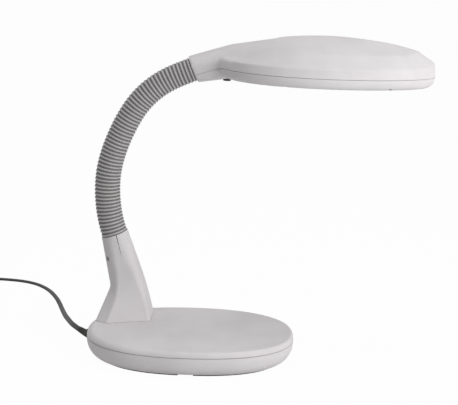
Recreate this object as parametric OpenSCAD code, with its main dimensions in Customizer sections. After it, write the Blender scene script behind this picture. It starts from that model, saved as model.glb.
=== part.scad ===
// Gooseneck desk lamp: an oval weighted base, a leaning post, a ribbed flexible neck and a long oval shade.
// Millimetres, +Z up. The origin is the centre of the base on the table, +X is the way the shade reaches
// and -Y faces the user.

/* [Base] */
// Length of the base, left to right
base_len = 244; // [230:1:270]
// Width of the base, front to back
base_wid = 168; // [156:1:190]
// Height of the top of the base above the table
base_h = 33.5; // [32:0.5:42]
// Height of the seam between the tray and the cover
seam_z = 27; // [25.5:0.5:28.5]
// Shadow gap at the seam
seam_gap = 0.6; // [0.3:0.1:1]
// Inset of the top face at the left end
rim_rear = 8; // [4:0.5:9]
// Inset of the top face at the right end
rim_front = 3.5; // [2:0.5:8]
// Inset of the top face along the sides
rim_side = 4; // [2:0.5:6]
// Height at which the tray wall starts to curve in
tray_wall_z = 24; // [20:0.5:25]
// Inset of the underside
tray_in = 19.5; // [14:0.5:20]
// Wall thickness of the base shells
shell = 2.6; // [2:0.1:3.2]
// Height of the rubber foot strip under the tray
foot_h = 1.5; // [1:0.1:3]
// Width of the rubber foot strip
foot_w = 8; // [5:0.5:12]
// Gap where the ends of the foot strip meet
foot_gap = 9; // [4:0.5:16]
// Diameter of the base screws
base_screw_d = 3; // [2.5:0.1:3.5]
// Outer diameter of the screw bosses
boss_d = 9; // [8:0.5:11]

/* [Weight and choke] */
// Length of the iron weight
weight_len = 130; // [100:1:136]
// Width of the iron weight
weight_wid = 78; // [60:1:79]
// Thickness of the iron weight
weight_t = 9; // [5:0.5:12]
// Length of the choke's iron core
choke_len = 60; // [50:1:62]
// Width of the choke's iron core
choke_wid = 26; // [20:1:30]
// Height of the choke's iron core
choke_h = 16; // [12:0.5:16.5]

/* [Post] */
// Distance of the post's top from the left end of the base
post_in = 28; // [25:0.5:35]
// Distance of the post's top from the back of the base
post_back = 37; // [34:0.5:42]
// Height of the post's top above the base
post_h = 102; // [92:1:120]
// Radius of the post's top
post_top_r = 16.25; // [16:0.25:18]
// Height of the kink in the post's back above the base
post_kink = 37; // [28:0.5:38]
// Wall thickness of the post
post_wall = 2.6; // [2:0.1:3]
// Gap between the post and its rear cover
post_gap = 0.3; // [0.2:0.05:0.5]

/* [Neck] */
// Diameter of the neck at the post
neck_low_d = 31; // [29:0.5:32]
// Diameter of the neck at the head
neck_top_d = 28.5; // [27.5:0.5:30]
// Length of one neck link along the neck
link_len = 17.4; // [16.8:0.1:20]
// Ribs on each link
link_ribs = 4; // [3:1:5]
// Width of a rib
rib_w = 2.2; // [1.8:0.1:2.4]
// Depth of the grooves between the ribs
rib_depth = 2; // [1:0.1:2.5]
// Radius of the ball under each link
ball_r = 8.5; // [7.5:0.1:9]
// Clearance around the ball
ball_gap = 0.3; // [0.2:0.05:0.4]
// Radius of the bore for the leads
lead_bore = 3.5; // [2.5:0.1:4]
// Length of the spigots at the ends of the neck
spigot = 14; // [12:0.5:20]

/* [Head] */
// Radius of the head's socket at the end of the neck
socket_r = 16.5; // [15.5:0.25:18]
// Length of the shade
head_len = 254; // [246:1:275]
// Width of the shade
head_wid = 154; // [148:1:166]
// How much narrower the shade's nose is than its back
head_taper = 0.18; // [0.1:0.01:0.22]
// Height of the upright wall above the seam
wall_h = 11; // [10:0.5:12.5]
// Inset of the upright wall at its top
wall_in = 1.5; // [0.5:0.1:3]
// Height of the sloping band
band_h = 14.5; // [12:0.5:15.5]
// Inset at the top of the sloping band
band_in = 22; // [18:0.5:26]
// Rise of the crowned top
crown_h = 15; // [12:0.5:16]
// Depth of the lower shell under the seam
drop = 12.5; // [11:0.5:14]
// Inset of the lower shell's underside
drop_in = 10; // [7:0.5:11]
// Wall thickness of the head shells
head_wall = 2.4; // [2:0.1:2.8]
// Gap at the head's seam
head_gap = 0.5; // [0.3:0.1:1]
// Distance from the end of the neck to the back of the shade
head_reach = 35.6; // [35:0.2:44]
// Rise from the end of the neck to the shade's seam
head_rise = 5.4; // [2:0.2:7]
// How far the nose of the shade dips, in degrees
head_dip = 1.15; // [0:0.05:4]
// Inset of the light opening along the sides
open_side = 18; // [17:0.5:22]
// Inset of the light opening at the back
open_rear = 30; // [28:0.5:34]
// Inset of the light opening at the nose
open_front = 18; // [17:0.5:22]
// Height of the reflector's ceiling above the seam
reflector_h = 16; // [14:0.5:17]
// Sheet thickness of the reflector
reflector_t = 1; // [0.8:0.1:1.4]
// Diameter of one leg of the lamp tube
tube_d = 12.5; // [11:0.1:13]
// Distance between the legs of the lamp tube
tube_pitch = 14.5; // [14:0.1:16]
// Length of the lamp with its cap
lamp_len = 164; // [150:1:166]
// Diameter of the push button
button_d = 9.5; // [8:0.1:10]
// Travel of the push button
button_travel = 2; // [1:0.1:2.5]

/* [Cord] */
// Width of the mains cord
cord_d = 6; // [5:0.1:6.3]
// Distance between the turns of the coil
coil_pitch = 6.7; // [6.7:0.05:7.2]
// Height of the bush in the tray's wall
bush_z = 20.5; // [19.5:0.5:21]
// Diameter of the bush's flange
bush_d = 11; // [10:0.5:12]
// Length of the bush's tapered nozzle
bush_len = 17; // [14:0.5:24]

/* [Hidden] */
$fn = 64;
facets = 48;
fit = 0.2;
eps = 0.01;

shell_grey = [0.80, 0.79, 0.79];
sleeve_grey = [0.66, 0.65, 0.65];
black = [0.10, 0.10, 0.10];
steel = [0.62, 0.63, 0.65];
iron = [0.30, 0.30, 0.31];
copper = [0.72, 0.42, 0.22];
white = [0.95, 0.95, 0.93];

// Bend of each neck link in degrees, from the post to the head
neck_bends = [6.5, 6, 5.5, 6, 8, 6, 4, 4, 5.5, 9, 9.5, 8.5, 7.5, 0.5];
neck_lean = 109.3;
links = len(neck_bends);
rib_pitch = link_len / link_ribs;

// Fullness of the base's outline: 2 is an ellipse, more is squarer
base_full = 2.3;

// Where the base screws stand: in from the ends and the sides of the base
screw_end = [45, 45, 61, 92];
screw_side = [56, 56, 48, 36];
base_screws_at = [
  [screw_end[0] - base_len / 2, screw_side[0] - base_wid / 2],
  [base_len / 2 - screw_end[1], screw_side[1] - base_wid / 2],
  [base_len / 2 - screw_end[2], base_wid / 2 - screw_side[2]],
  [screw_end[3] - base_len / 2, base_wid / 2 - screw_side[3]]];
boss_split = 14;
screw_head_r = 2.9;
screw_head_h = 2;
screw_bite = 1.6;
weight_side = 62;
weight_at = [0, weight_side - base_wid / 2];
weight_screws_at = [[-50, 0], [50, 0]];
choke_side = 44;
choke_at = [14, base_wid / 2 - choke_side];
choke_lug = 8;
choke_grow = choke_wid / 8;
choke_lift = choke_grow + 2 * fit;
choke_screws_at = [for (side = [-1, 1]) [side * (choke_len + choke_lug) / 2, 0]];
terminal = [26, 16, 14];
terminal_at = [-53, base_wid / 2 - choke_side - 1];
terminal_screw_r = 1.8;
// How far the foot strip stands out past the tray's flat underside
foot_out = 2.5;
bush_y = 9;
bush_body_r = 4.6;
bush_out = 2.5;
bush_ring = 8;
bush_ring_t = 1.5;
bush_in = 14;
bush_turn = 55;
base_lead_r = 2.5;

// Foot and waist of the post as rounded outlines: corner centres, then the corner radius
post_at = [post_in - base_len / 2, base_wid / 2 - post_back];
post_foot = [for (p = [[-6, -33], [40, -19.5], [41.5, 13], [15.5, 10], [-15.5, -27.5]]) post_at + p];
post_foot_r = 5;
post_waist = [for (p = [[9.5, -13.5], [31, -14.5], [31, 14.5], [0.8, 14.5], [0.8, -4]]) post_at + p];
post_waist_r = 6;
seat_back = 1.5;
post_screws_at = [post_at + [32.5, 0], post_at + [2.5, -10]];
post_boss_h = 14;
post_deck = post_wall + 1;
wire_hole_at = post_at + [17.5, -1];
wire_hole_r = 6;
rear_lift = 2;
part_ahead = 3;
part_lean = 16.5;

function sum(v, n) = n <= 0 ? 0 : v[n - 1] + sum(v, n - 1);
function sgn(x) = x < 0 ? -1 : 1;
function oval(a, b, n, shift) =
  [for (i = [0 : facets - 1]) let (t = 360 * i / facets)
    [shift + a * sgn(cos(t)) * pow(abs(cos(t)), 2 / n), b * sgn(sin(t)) * pow(abs(sin(t)), 2 / n)]];
function egg(a, b, k, shift) =
  [for (i = [0 : facets - 1]) let (t = 360 * i / facets) [shift + a * cos(t), b * sin(t) * (1 - k * cos(t))]];

// Outline of the base, drawn in at the left end, the right end and the sides
function base_ring(rear, front, side) =
  oval((base_len - rear - front) / 2, base_wid / 2 - side, base_full, (rear - front) / 2);

// The shade's own outline, whose back lies on the head's origin line
shade_back = -7.5;
shade_mid = shade_back + head_len / 2;
function shade_ring(inset) = egg(head_len / 2 - inset, head_wid / 2 - inset, head_taper, shade_mid);
function open_ring(grow) =
  egg((head_len - open_rear - open_front) / 2 + grow, head_wid / 2 - open_side + grow, head_taper,
    shade_mid + (open_rear - open_front) / 2);

// Neck: where a link starts, which way it points, and any place along it
neck_foot = [post_at[0] - seat_back, post_at[1], base_h + post_h];
function link_angle(k) = neck_lean - sum(neck_bends, k);
function chord(len, bend) = bend == 0 ? len : len * sin(bend / 2) / (bend / 2 * PI / 180);
function along(p, a, len, bend) = p + chord(len, bend) * [cos(a - bend / 2), 0, sin(a - bend / 2)];
function link_start(k) =
  k <= 0 ? neck_foot : along(link_start(k - 1), link_angle(k - 1), link_len, neck_bends[k - 1]);
function neck_r(k, f) = (neck_low_d + (neck_top_d - neck_low_d) * (k + f) / links) / 2;
neck_end = link_start(links);
head_at = neck_end + [head_reach, 0, head_rise];

function at_height(ring, z) = [for (p = ring) [p[0], p[1], z]];

// A solid through rings of points, from the bottom up
module loft(rings) {
  n = len(rings[0]);
  last = len(rings) - 1;
  points = [for (ring = rings) each ring];
  sides = [for (j = [0 : last - 1]) for (i = [0 : n - 1]) let (a = j * n + i, b = j * n + (i + 1) % n)
    each [[a, a + n, b + n], [a, b + n, b]]];
  caps = [[for (i = [0 : n - 1]) i], [for (i = [n - 1 : -1 : 0]) last * n + i]];
  polyhedron(points = points, faces = concat(caps, sides));
}

// A round tube swept along points, with its end faces square to the first and last stretch
module sweep(route, r, sides, up = [0, 0, 1]) {
  last = len(route) - 1;
  ring = function (i) let (
      a = route[max(i - 1, 0)],
      b = route[min(i + 1, last)],
      t = (b - a) / norm(b - a),
      u = cross(up, t) / norm(cross(up, t)),
      v = cross(t, u))
    [for (k = [0 : sides - 1]) let (w = 360 * (k + 0.5) / sides) route[i] + r * (cos(w) * u + sin(w) * v)];
  points = [for (i = [0 : last]) each ring(i)];
  walls = [for (i = [0 : last - 1]) for (k = [0 : sides - 1])
    let (a = i * sides + k, b = i * sides + (k + 1) % sides)
    each [[a, b + sides, a + sides], [a, b, b + sides]]];
  caps = [[for (k = [sides - 1 : -1 : 0]) k], [for (k = [0 : sides - 1]) last * sides + k]];
  polyhedron(points = points, faces = concat(caps, walls));
}

module at_each(places) {
  for (p = places) translate([p[0], p[1], 0]) children();
}

// A cube of that size under z = 0, or above it
module block_below(size) {
  translate([-size / 2, -size / 2, -size]) cube(size);
}
module block_above(size) {
  translate([-size / 2, -size / 2, 0]) cube(size);
}

// A pan-head screw standing on z = 0 with its head down
module screw(d, len) {
  cylinder(r = screw_head_r, h = screw_head_h);
  cylinder(d = d, h = len);
}

// Base

rim_h = base_h - seam_z;
rim_turn = [0, 35, 65, 90];
function cover_rings(in) = [for (t = rim_turn) let (c = 1 - cos(t))
  at_height(base_ring(rim_rear * c + in, rim_front * c + in, rim_side * c + in), seam_z + (rim_h - in) * sin(t))];
tray_turn = [0, 20, 40, 58, 75, 90];
function tray_rings(in, top) = concat(
  [for (t = tray_turn) let (c = tray_in * (1 - sin(t)) + in)
    at_height(base_ring(c, c, c), tray_wall_z - (tray_wall_z - foot_h - in) * cos(t))],
  [at_height(base_ring(in, in, in), top)]);
floor_z = foot_h + shell;

module base_cover() {
  inside = seam_z - 1;
  color(shell_grey) difference() {
    union() {
      difference() {
        loft(cover_rings(0));
        loft(concat([at_height(base_ring(shell, shell, shell), inside)], cover_rings(shell)));
      }
      at_each(base_screws_at) translate([0, 0, boss_split])
        cylinder(d = boss_d, h = base_h - shell / 2 - boss_split);
    }
    at_each(base_screws_at) translate([0, 0, boss_split - 1])
      cylinder(d = base_screw_d + fit / 2, h = base_h - shell - boss_split + 1 - fit);
    at_each(post_screws_at) cylinder(d = base_screw_d + 2 * fit, h = base_h + 1);
    translate([wire_hole_at[0], wire_hole_at[1], 0]) cylinder(r = wire_hole_r, h = base_h + 1);
  }
}

module thread_hole() {
  cylinder(d = base_screw_d + fit / 2, h = 2 * screw_bite);
}

module base_tray() {
  color(shell_grey) difference() {
    union() {
      difference() {
        loft(tray_rings(0, seam_z - seam_gap));
        loft(tray_rings(shell, seam_z));
      }
      at_each(base_screws_at) translate([0, 0, foot_h + shell / 2])
        cylinder(d = boss_d, h = boss_split - foot_h - shell / 2);
    }
    at_each(base_screws_at) {
      translate([0, 0, -1]) cylinder(d = base_screw_d + 2 * fit, h = boss_split + 2);
      translate([0, 0, -1]) cylinder(r = screw_head_r + fit, h = 1 + floor_z + fit);
    }
    translate([weight_at[0], weight_at[1], floor_z - screw_bite]) at_each(weight_screws_at) thread_hole();
    translate([choke_at[0], choke_at[1], floor_z - screw_bite]) at_each(choke_screws_at) thread_hole();
    translate([-base_len / 2, bush_y, bush_z]) rotate([0, -90, 0])
      cylinder(r = bush_body_r + fit / 2, h = 4 * shell, center = true);
  }
}

module base_screws() {
  len = base_h - shell - 1 - floor_z - fit + screw_head_h;
  color(steel) at_each(base_screws_at) translate([0, 0, floor_z + fit - screw_head_h]) screw(base_screw_d, len);
}

module foot_strip() {
  edge = tray_in - foot_out;
  inner = edge + foot_w;
  color(black) linear_extrude(foot_h) difference() {
    polygon(base_ring(edge, edge, edge));
    polygon(base_ring(inner, inner, inner));
    translate([-foot_gap, -base_wid / 2]) square([foot_gap, base_wid / 2]);
  }
}

module ballast_weight() {
  color(iron) translate([weight_at[0], weight_at[1], floor_z]) difference() {
    linear_extrude(weight_t) polygon(oval(weight_len / 2, weight_wid / 2, base_full, 0));
    at_each(weight_screws_at) translate([0, 0, -1]) cylinder(d = base_screw_d + 2 * fit, h = weight_t + 2);
  }
}

module weight_screws() {
  color(steel) translate([weight_at[0], weight_at[1], floor_z + weight_t]) at_each(weight_screws_at)
    mirror([0, 0, 1]) translate([0, 0, -screw_head_h])
      screw(base_screw_d, weight_t + screw_head_h + screw_bite - fit);
}

module choke_core() {
  window = choke_len - choke_wid;
  limb = choke_wid / 4;
  color(iron) translate([choke_at[0], choke_at[1], floor_z]) difference() {
    union() {
      translate([-choke_len / 2, -choke_wid / 2, choke_lift]) cube([choke_len, choke_wid, choke_h]);
      for (side = [-1, 1]) translate([side * (choke_len / 2) - choke_lug, -choke_wid / 2, 0])
        cube([2 * choke_lug, choke_wid, choke_lift + 1]);
    }
    for (side = [-1, 1]) translate([-window / 2, side * limb - limb / 2, choke_lift - 1])
      cube([window, limb, choke_h + 2]);
    at_each(choke_screws_at) translate([0, 0, -1])
      cylinder(d = base_screw_d + 2 * fit, h = choke_lift + 3);
  }
}

module choke_coil() {
  length = choke_len - choke_wid - 2 * fit;
  limb = choke_wid / 4;
  color(copper) translate([choke_at[0], choke_at[1], floor_z + choke_lift + choke_h / 2]) difference() {
    cube([length, limb + 2 * choke_grow, choke_h + 2 * choke_grow], center = true);
    cube([length + 2, limb + 2 * fit, choke_h + 2 * fit], center = true);
  }
}

module choke_screws() {
  color(steel) translate([choke_at[0], choke_at[1], floor_z + choke_lift + 1]) at_each(choke_screws_at)
    mirror([0, 0, 1]) translate([0, 0, -screw_head_h])
      screw(base_screw_d, screw_head_h + choke_lift + 1 + screw_bite - fit);
}

// Something at both clamp screws of the terminal block
module at_terminals() {
  translate([terminal_at[0], terminal_at[1], floor_z + terminal[2] / 2])
    at_each([for (side = [-1, 1]) [side * terminal[0] / 4, 0]]) children();
}

module terminal_block() {
  color(white) difference() {
    translate([terminal_at[0] - terminal[0] / 2, terminal_at[1] - terminal[1] / 2, floor_z]) cube(terminal);
    at_terminals() cylinder(r = terminal_screw_r + fit, h = terminal[2]);
  }
}

module terminal_screws() {
  color(steel) at_terminals() cylinder(r = terminal_screw_r, h = terminal[2] / 2 - 1);
}

// Cord

// The bush's outer end, with +Z the way the cord leaves
bush_at = [-base_len / 2 - bush_out, bush_y, bush_z];
bush_way = [-cos(bush_turn), sin(bush_turn), 0];
module bush_nozzle() {
  translate(bush_at) rotate([0, 0, -bush_turn]) rotate([0, -90, 0]) children();
}

module cord_bush() {
  color(black) {
    translate([-base_len / 2, bush_y, bush_z]) rotate([0, -90, 0]) difference() {
      union() {
        translate([0, 0, -bush_in]) cylinder(r = bush_body_r, h = bush_in + 1);
        cylinder(d1 = bush_d, d2 = bush_d - 1, h = bush_out);
        translate([0, 0, -bush_ring]) cylinder(r = bush_body_r + 1, h = bush_ring_t);
      }
      translate([0, 0, -bush_in - 1]) cylinder(d = cord_d + fit, h = bush_in + 1);
    }
    bush_nozzle() {
      sphere(r = bush_body_r - fit);
      cylinder(r1 = bush_body_r - fit, r2 = cord_d / 2 + 0.5, h = bush_len);
    }
  }
}

cord_z = cord_d / 2 + 0.1;
coil_low = cord_d / 2 + 1.4;
bush_end = bush_at + bush_len * bush_way;
cord_route = [bush_end, bush_end + cord_d * bush_way, [-145.5, 44, 19.3], [-151, 61, 17.1], [-156, 79, 14.3],
  [-161, 98, 11.1], [-165.5, 118, 8], [-170, 138, 5.5], [-174.5, 157, 3.9], [-179.5, 176, cord_z],
  [-185.5, 195, cord_z], [-192.5, 213, cord_z], [-200.5, 230, cord_z], [-210, 245, cord_z], [-221.5, 258, cord_z],
  [-235, 267.5, cord_z], [-250, 273.5, cord_z], [-266, 276, 3.4], [-282, 276.5, 3.9], [-298, 276.5, coil_low],
  [-309, 276.5, coil_low], [-316, 276.5, coil_low]];
coil_in = 25.5;
coil_from = 90;
coil_back = 3;
coil_turns = 6.25;
coil_join = cord_route[len(cord_route) - 1];
coil_r0 = coil_in + coil_pitch * coil_back;
coil_at = [coil_join[0] - cord_d, coil_join[1] - coil_r0];
coil_tail = 25;
function coil_rise(u) = min(1, max(0, (u - coil_back + 0.25) / 0.5));
function coil_point(u) = let (r = coil_in + coil_pitch * abs(u - coil_back), a = coil_from + 360 * u)
  [coil_at[0] + r * cos(a), coil_at[1] + r * sin(a), coil_low + coil_pitch * coil_rise(u)];
coil_steps = round(24 * coil_turns);
coil_loops = [for (i = [0 : coil_steps]) coil_point(i * coil_turns / coil_steps)];
coil_end = coil_loops[coil_steps];
plug_at = coil_end + [0, -coil_tail, 0];
coil_route = concat([coil_join], coil_loops, [coil_end + [0, -coil_tail + cord_d, 0], plug_at]);
coil_gap = min([for (i = [0 : coil_steps]) for (j = [i + 12 : 1 : coil_steps])
  norm(coil_loops[i] - coil_loops[j])]) - cord_d;
echo(coil_self_gap = coil_gap);
plug = [26, 34, 2 * plug_at[2]];
plug_neck = 12;
blade = [1.5, 24, 6.35];
blade_pitch = 12.7;
blade_hold = 8;

module power_cord() {
  color(black) sweep(cord_route, cord_d / 2, 8);
}

module cord_coil() {
  color(black) sweep(coil_route, cord_d / 2, 6);
}

module cord_tie() {
  clear = 2 * fit;
  low = coil_in - cord_d / 2 - clear;
  wide = coil_in + coil_pitch * (coil_turns - coil_back) + cord_d / 2 + clear - low;
  tall = coil_low + coil_pitch + cord_d / 2 + clear;
  band = 0.9;
  tie_w = 5;
  color(black) translate([coil_at[0], coil_at[1], 0]) rotate(315) translate([low, -tie_w / 2, 0]) difference() {
    translate([-band, 0, 0]) cube([wide + 2 * band, tie_w, tall + band]);
    translate([0, -1, band]) cube([wide, tie_w + 2, tall - band]);
  }
}

module plug_body() {
  color(black) translate([plug_at[0], plug_at[1], plug_at[2]]) difference() {
    union() {
      translate([-plug[0] / 2, -plug_neck - plug[1], -plug[2] / 2]) cube(plug);
      rotate([90, 0, 0]) cylinder(r1 = cord_d / 2 + 1, r2 = cord_d / 2 + 3, h = plug_neck + 1);
    }
    translate([0, -plug_neck - plug[1] + blade_hold, 0]) plug_slots();
  }
}

module plug_slots() {
  for (side = [-1, 1]) translate([side * blade_pitch / 2 - blade[0] / 2 - fit / 2, -blade[1], -blade[2] / 2 - fit / 2])
    cube([blade[0] + fit, blade[1], blade[2] + fit]);
}

module plug_blades() {
  color(steel) translate([plug_at[0], plug_at[1] - plug_neck - plug[1] + blade_hold - fit, plug_at[2]])
    for (side = [-1, 1]) translate([side * blade_pitch / 2 - blade[0] / 2, -blade[1], -blade[2] / 2]) cube(blade);
}

// Post

module rounded(corners, r) {
  offset(r = r, $fn = 24) polygon(corners);
}

// Place something at a fraction of a neck link, with +Z along the neck
module at_neck(k, f) {
  a = link_angle(k) - neck_bends[k] * f;
  translate(along(link_start(k), link_angle(k), link_len * f, neck_bends[k] * f)) rotate([0, 90 - a, 0]) children();
}

// Body of the post, drawn in all round by a wall
module post_form(in) {
  waist_z = base_h + post_kink;
  hull() {
    at_neck(0, 0) translate([0, 0, -1]) cylinder(r = post_top_r - in, h = 1, $fn = 32);
    translate([0, 0, waist_z]) linear_extrude(0.5) rounded(post_waist, post_waist_r - in);
  }
  hull() {
    translate([0, 0, waist_z]) linear_extrude(0.5) rounded(post_waist, post_waist_r - in);
    translate([0, 0, base_h]) linear_extrude(0.5) rounded(post_foot, post_foot_r - in);
  }
}

module post_shell() {
  difference() {
    post_form(0);
    difference() {
      post_form(post_wall);
      at_neck(0, 0) translate([0, 0, -post_deck]) block_above(4 * post_top_r);
    }
    translate([0, 0, base_h - 0.5]) linear_extrude(1) rounded(post_foot, post_foot_r - post_wall);
    at_neck(0, 0) translate([0, 0, -2 * spigot]) cylinder(r = ball_r + fit, h = 3 * spigot);
  }
}

// The space behind the post's parting plane and above its kink
module rear_half(grow) {
  size = 2 * post_h;
  difference() {
    translate(neck_foot + [part_ahead + grow, 0, 0]) rotate([0, 90 - part_lean, 0]) block_below(size);
    translate([neck_foot[0], neck_foot[1], base_h + post_kink + rear_lift - grow]) block_below(size);
  }
}

rear_screw_from_seat = [3.2, 0, -29.8];
rear_screw_at = neck_foot + rear_screw_from_seat;
rear_turn = 45;
rear_boss_r = 4;
rear_boss_in = 8;
rear_boss_t = 4;
rear_reach = 2 * post_top_r;
rear_screw_len = 22;

// Something on the rear screw's axis, with +Z the way that the screw goes in
module at_rear_screw(from) {
  translate(rear_screw_at) rotate([0, 0, rear_turn]) rotate([0, 90, 0]) translate([0, 0, from]) children();
}
module rear_axis(from, len, r) {
  at_rear_screw(from) cylinder(r = r, h = len);
}

module post_front() {
  color(shell_grey) difference() {
    union() {
      difference() {
        post_shell();
        rear_half(post_gap);
      }
      at_each(post_screws_at) translate([0, 0, base_h]) cylinder(d = boss_d, h = post_boss_h);
      intersection() {
        union() {
          rear_axis(-rear_boss_in, rear_reach + rear_boss_in, rear_boss_r);
          at_each(post_screws_at) translate([-post_wall / 2, -base_wid / 2, base_h])
            cube([post_wall, base_wid, post_boss_h]);
        }
        post_form(post_wall / 2);
      }
    }
    at_each(post_screws_at) cylinder(d = base_screw_d + fit / 2, h = base_h + post_boss_h - 1);
    rear_axis(-rear_reach, rear_reach + rear_screw_len - rear_boss_in, base_screw_d / 2 + fit / 4);
  }
}

module post_rear_cover() {
  color(shell_grey) difference() {
    union() {
      intersection() {
        post_shell();
        rear_half(0);
      }
      intersection() {
        rear_axis(-rear_reach, rear_reach - rear_boss_in - post_gap, rear_boss_r + 1);
        post_form(post_wall / 2);
      }
    }
    rear_axis(-rear_reach, rear_reach, base_screw_d / 2 + fit);
    rear_axis(-rear_reach, rear_reach - rear_boss_in - rear_boss_t, screw_head_r + fit);
  }
}

module post_rear_screw() {
  color(steel) at_rear_screw(-rear_boss_in - rear_boss_t - screw_head_h) screw(base_screw_d, rear_screw_len);
}

module post_screws() {
  len = post_boss_h + shell + screw_head_h - 2;
  color(steel) at_each(post_screws_at) translate([0, 0, base_h - shell - screw_head_h]) screw(base_screw_d, len);
}

// Neck

nut_wall = 3.5;
module neck_nut() {
  color(steel) at_neck(0, 0) translate([0, 0, -spigot]) difference() {
    cylinder(r = ball_r + nut_wall, h = spigot - post_deck, $fn = 6);
    translate([0, 0, -1]) cylinder(r = ball_r + fit / 2, h = spigot + 2);
  }
}

module neck_end_nut() {
  color(steel) at_neck(links - 1, 1) translate([0, 0, boss_end_t]) difference() {
    cylinder(r = ball_r + nut_wall, h = spigot - boss_end_t - fit, $fn = 6);
    translate([0, 0, -1]) cylinder(r = ball_r + fit / 2, h = spigot + 2);
  }
}

// One link: ribs square to the curve, a ball below, a socket above, and a bore for the leads
module neck_link(k) {
  color(sleeve_grey) difference() {
    union() {
      for (j = [0 : link_ribs - 1]) at_neck(k, (j + 0.5) / link_ribs)
        cylinder(r = neck_r(k, j / link_ribs), h = rib_w, center = true);
      for (j = [1 : link_ribs - 1]) at_neck(k, j / link_ribs)
        cylinder(r = neck_r(k, j / link_ribs) - rib_depth, h = rib_pitch, center = true);
      at_neck(k, 0) if (k == 0) {
        translate([0, 0, -spigot]) cylinder(r = ball_r, h = spigot + rib_pitch / 2);
        cylinder(r = neck_r(0, 0) - rib_depth, h = rib_pitch / 2);
      } else sphere(r = ball_r);
      if (k == links - 1) at_neck(k, 1) {
        translate([0, 0, -rib_pitch / 2]) cylinder(r = ball_r, h = spigot + rib_pitch / 2);
        translate([0, 0, -rib_pitch / 2]) cylinder(r = neck_r(k, 1) - rib_depth, h = rib_pitch / 2);
      }
    }
    if (k < links - 1) at_neck(k, 1) sphere(r = ball_r + ball_gap);
    at_neck(k, 0.5) cylinder(r = lead_bore, h = 2 * link_len + 2 * spigot, center = true);
  }
}

// Head

module head_place() {
  translate(head_at) rotate([0, head_dip, 0]) children();
}

drop_turn = [0, 30, 60, 90];
crown_steps = [0, 0.3, 0.65, 1];
crown_run = head_wid / 2 - band_in - 5;
crown_ahead = 5.5;
crown_x = shade_mid + crown_ahead;
crown_end = shade_mid + head_len / 2 - band_in - crown_run;
crown_low = 0.57;
crown_nose = 0.09;
crown_round = 1.4;
band_low = 1.05;
nose_from = 0.75;
wall_nose = 5;
band_nose = 3.3;
band_z = wall_h + band_h;

// The crown falls towards the socket and the nose, and wall and band lift round the nose
function back(x) = x < crown_x ? pow((crown_x - x) / crown_x, 2) : 0;
function ahead(x) = x > crown_x ? pow((min(x, crown_end) - crown_x) / (crown_end - crown_x), 2) : 0;
function nose(x, inset) =
  pow(max(0, (x - shade_mid) / (head_len / 2 - inset) - nose_from) / (1 - nose_from), 2);
function wall_top(x, inset) = wall_h + wall_nose * nose(x, inset);
function band_top(x, inset) = wall_h + band_h * (1 - band_low * back(x)) + band_nose * nose(x, inset);
function crown_top(x) = wall_h + (band_h + crown_h) * (1 - crown_low * back(x) - crown_nose * ahead(x));
function crown_at(x, inset, u) = let (low = band_top(x, inset))
  low + (crown_top(x) - low) * (1 - pow(1 - u, crown_round));
function shade_rings(in) = concat(
  [for (t = drop_turn) at_height(shade_ring(in + drop_in * (1 - sin(t))), -(drop - in) * cos(t))],
  [[for (p = shade_ring(in + wall_in)) [p[0], p[1], wall_top(p[0], in + wall_in) - in / 2]]],
  [for (u = crown_steps) let (inset = in + band_in + (crown_run - in) * u)
    [for (p = shade_ring(inset)) [p[0], p[1], crown_at(p[0], inset, u) - in]]]);

// Widening socket between the neck and the shade: upright oval sections, each with its place along the head,
// its underside, its top and half its width
socket_mid = [8, -14.5, 25.5, 21];
socket_end = [60, 0, 34.8, 38];
boss_end_t = head_wall + 2;
socket_seam = 0.34;
module socket_section(s, in) {
  head_place() translate([s[0], 0, (s[1] + s[2]) / 2]) rotate([0, 90, 0]) linear_extrude(1)
    scale([(s[2] - s[1]) / 2 - in, s[3] - in]) circle(r = 1, $fn = 32);
}
module socket_form(in) {
  hull() {
    at_neck(links - 1, 1) cylinder(r = socket_r - in, h = 1, $fn = 32);
    socket_section(socket_mid, in);
  }
  hull() {
    socket_section(socket_mid, in);
    socket_section(socket_end, in);
  }
}

module head_form(in) {
  head_place() loft(shade_rings(in));
  socket_form(in);
}

// The space above the head's seam, which climbs from the neck to the shade and then runs level
module above_seam(lift) {
  far = 2 * head_len;
  low = socket_seam * far;
  head_place() rotate([90, 0, 0]) linear_extrude(2 * head_wid, center = true)
    polygon([[-far, lift - low], [0, lift], [far, lift], [far, far], [-far, far]]);
}

module head_shell() {
  difference() {
    head_form(0);
    difference() {
      head_form(head_wall);
      at_neck(links - 1, 1) translate([0, 0, boss_end_t]) block_below(8 * socket_r);
    }
    at_neck(links - 1, 1) translate([0, 0, -1]) cylinder(r = ball_r + fit, h = spigot + 4);
    head_place() translate([0, 0, -drop - 1]) linear_extrude(head_wall + 2) polygon(open_ring(0));
  }
}

head_screw_rear = [49.5, 11];
head_screw_nose = [68.5, 26];
head_screws_at = [for (side = [-1, 1]) each [
  [shade_mid - head_screw_rear[0], side * (head_wid / 2 - head_screw_rear[1])],
  [shade_mid + head_screw_nose[0], side * (head_wid / 2 - head_screw_nose[1])]]];
head_boss_d = 7;
head_screw_d = 2.6;
head_seat = 5;
button_x = 4.5;
button_out = 3.4;
pad_low = -socket_mid[1] - 0.5;
barrel_wall = 1.2;
barrel_r = button_d / 2 + fit + barrel_wall;
pad_wall = 1.5;
pad_h = 4;

module head_cover() {
  color(shell_grey) difference() {
    union() {
      intersection() {
        head_shell();
        above_seam(head_gap / 2);
      }
      intersection() {
        head_place() at_each(head_screws_at) cylinder(d = head_boss_d, h = band_z);
        head_form(head_wall / 2);
        above_seam(0);
      }
    }
    head_place() at_each(head_screws_at) translate([0, 0, -1]) cylinder(d = head_screw_d + fit / 2, h = wall_h - 1);
  }
}

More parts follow.
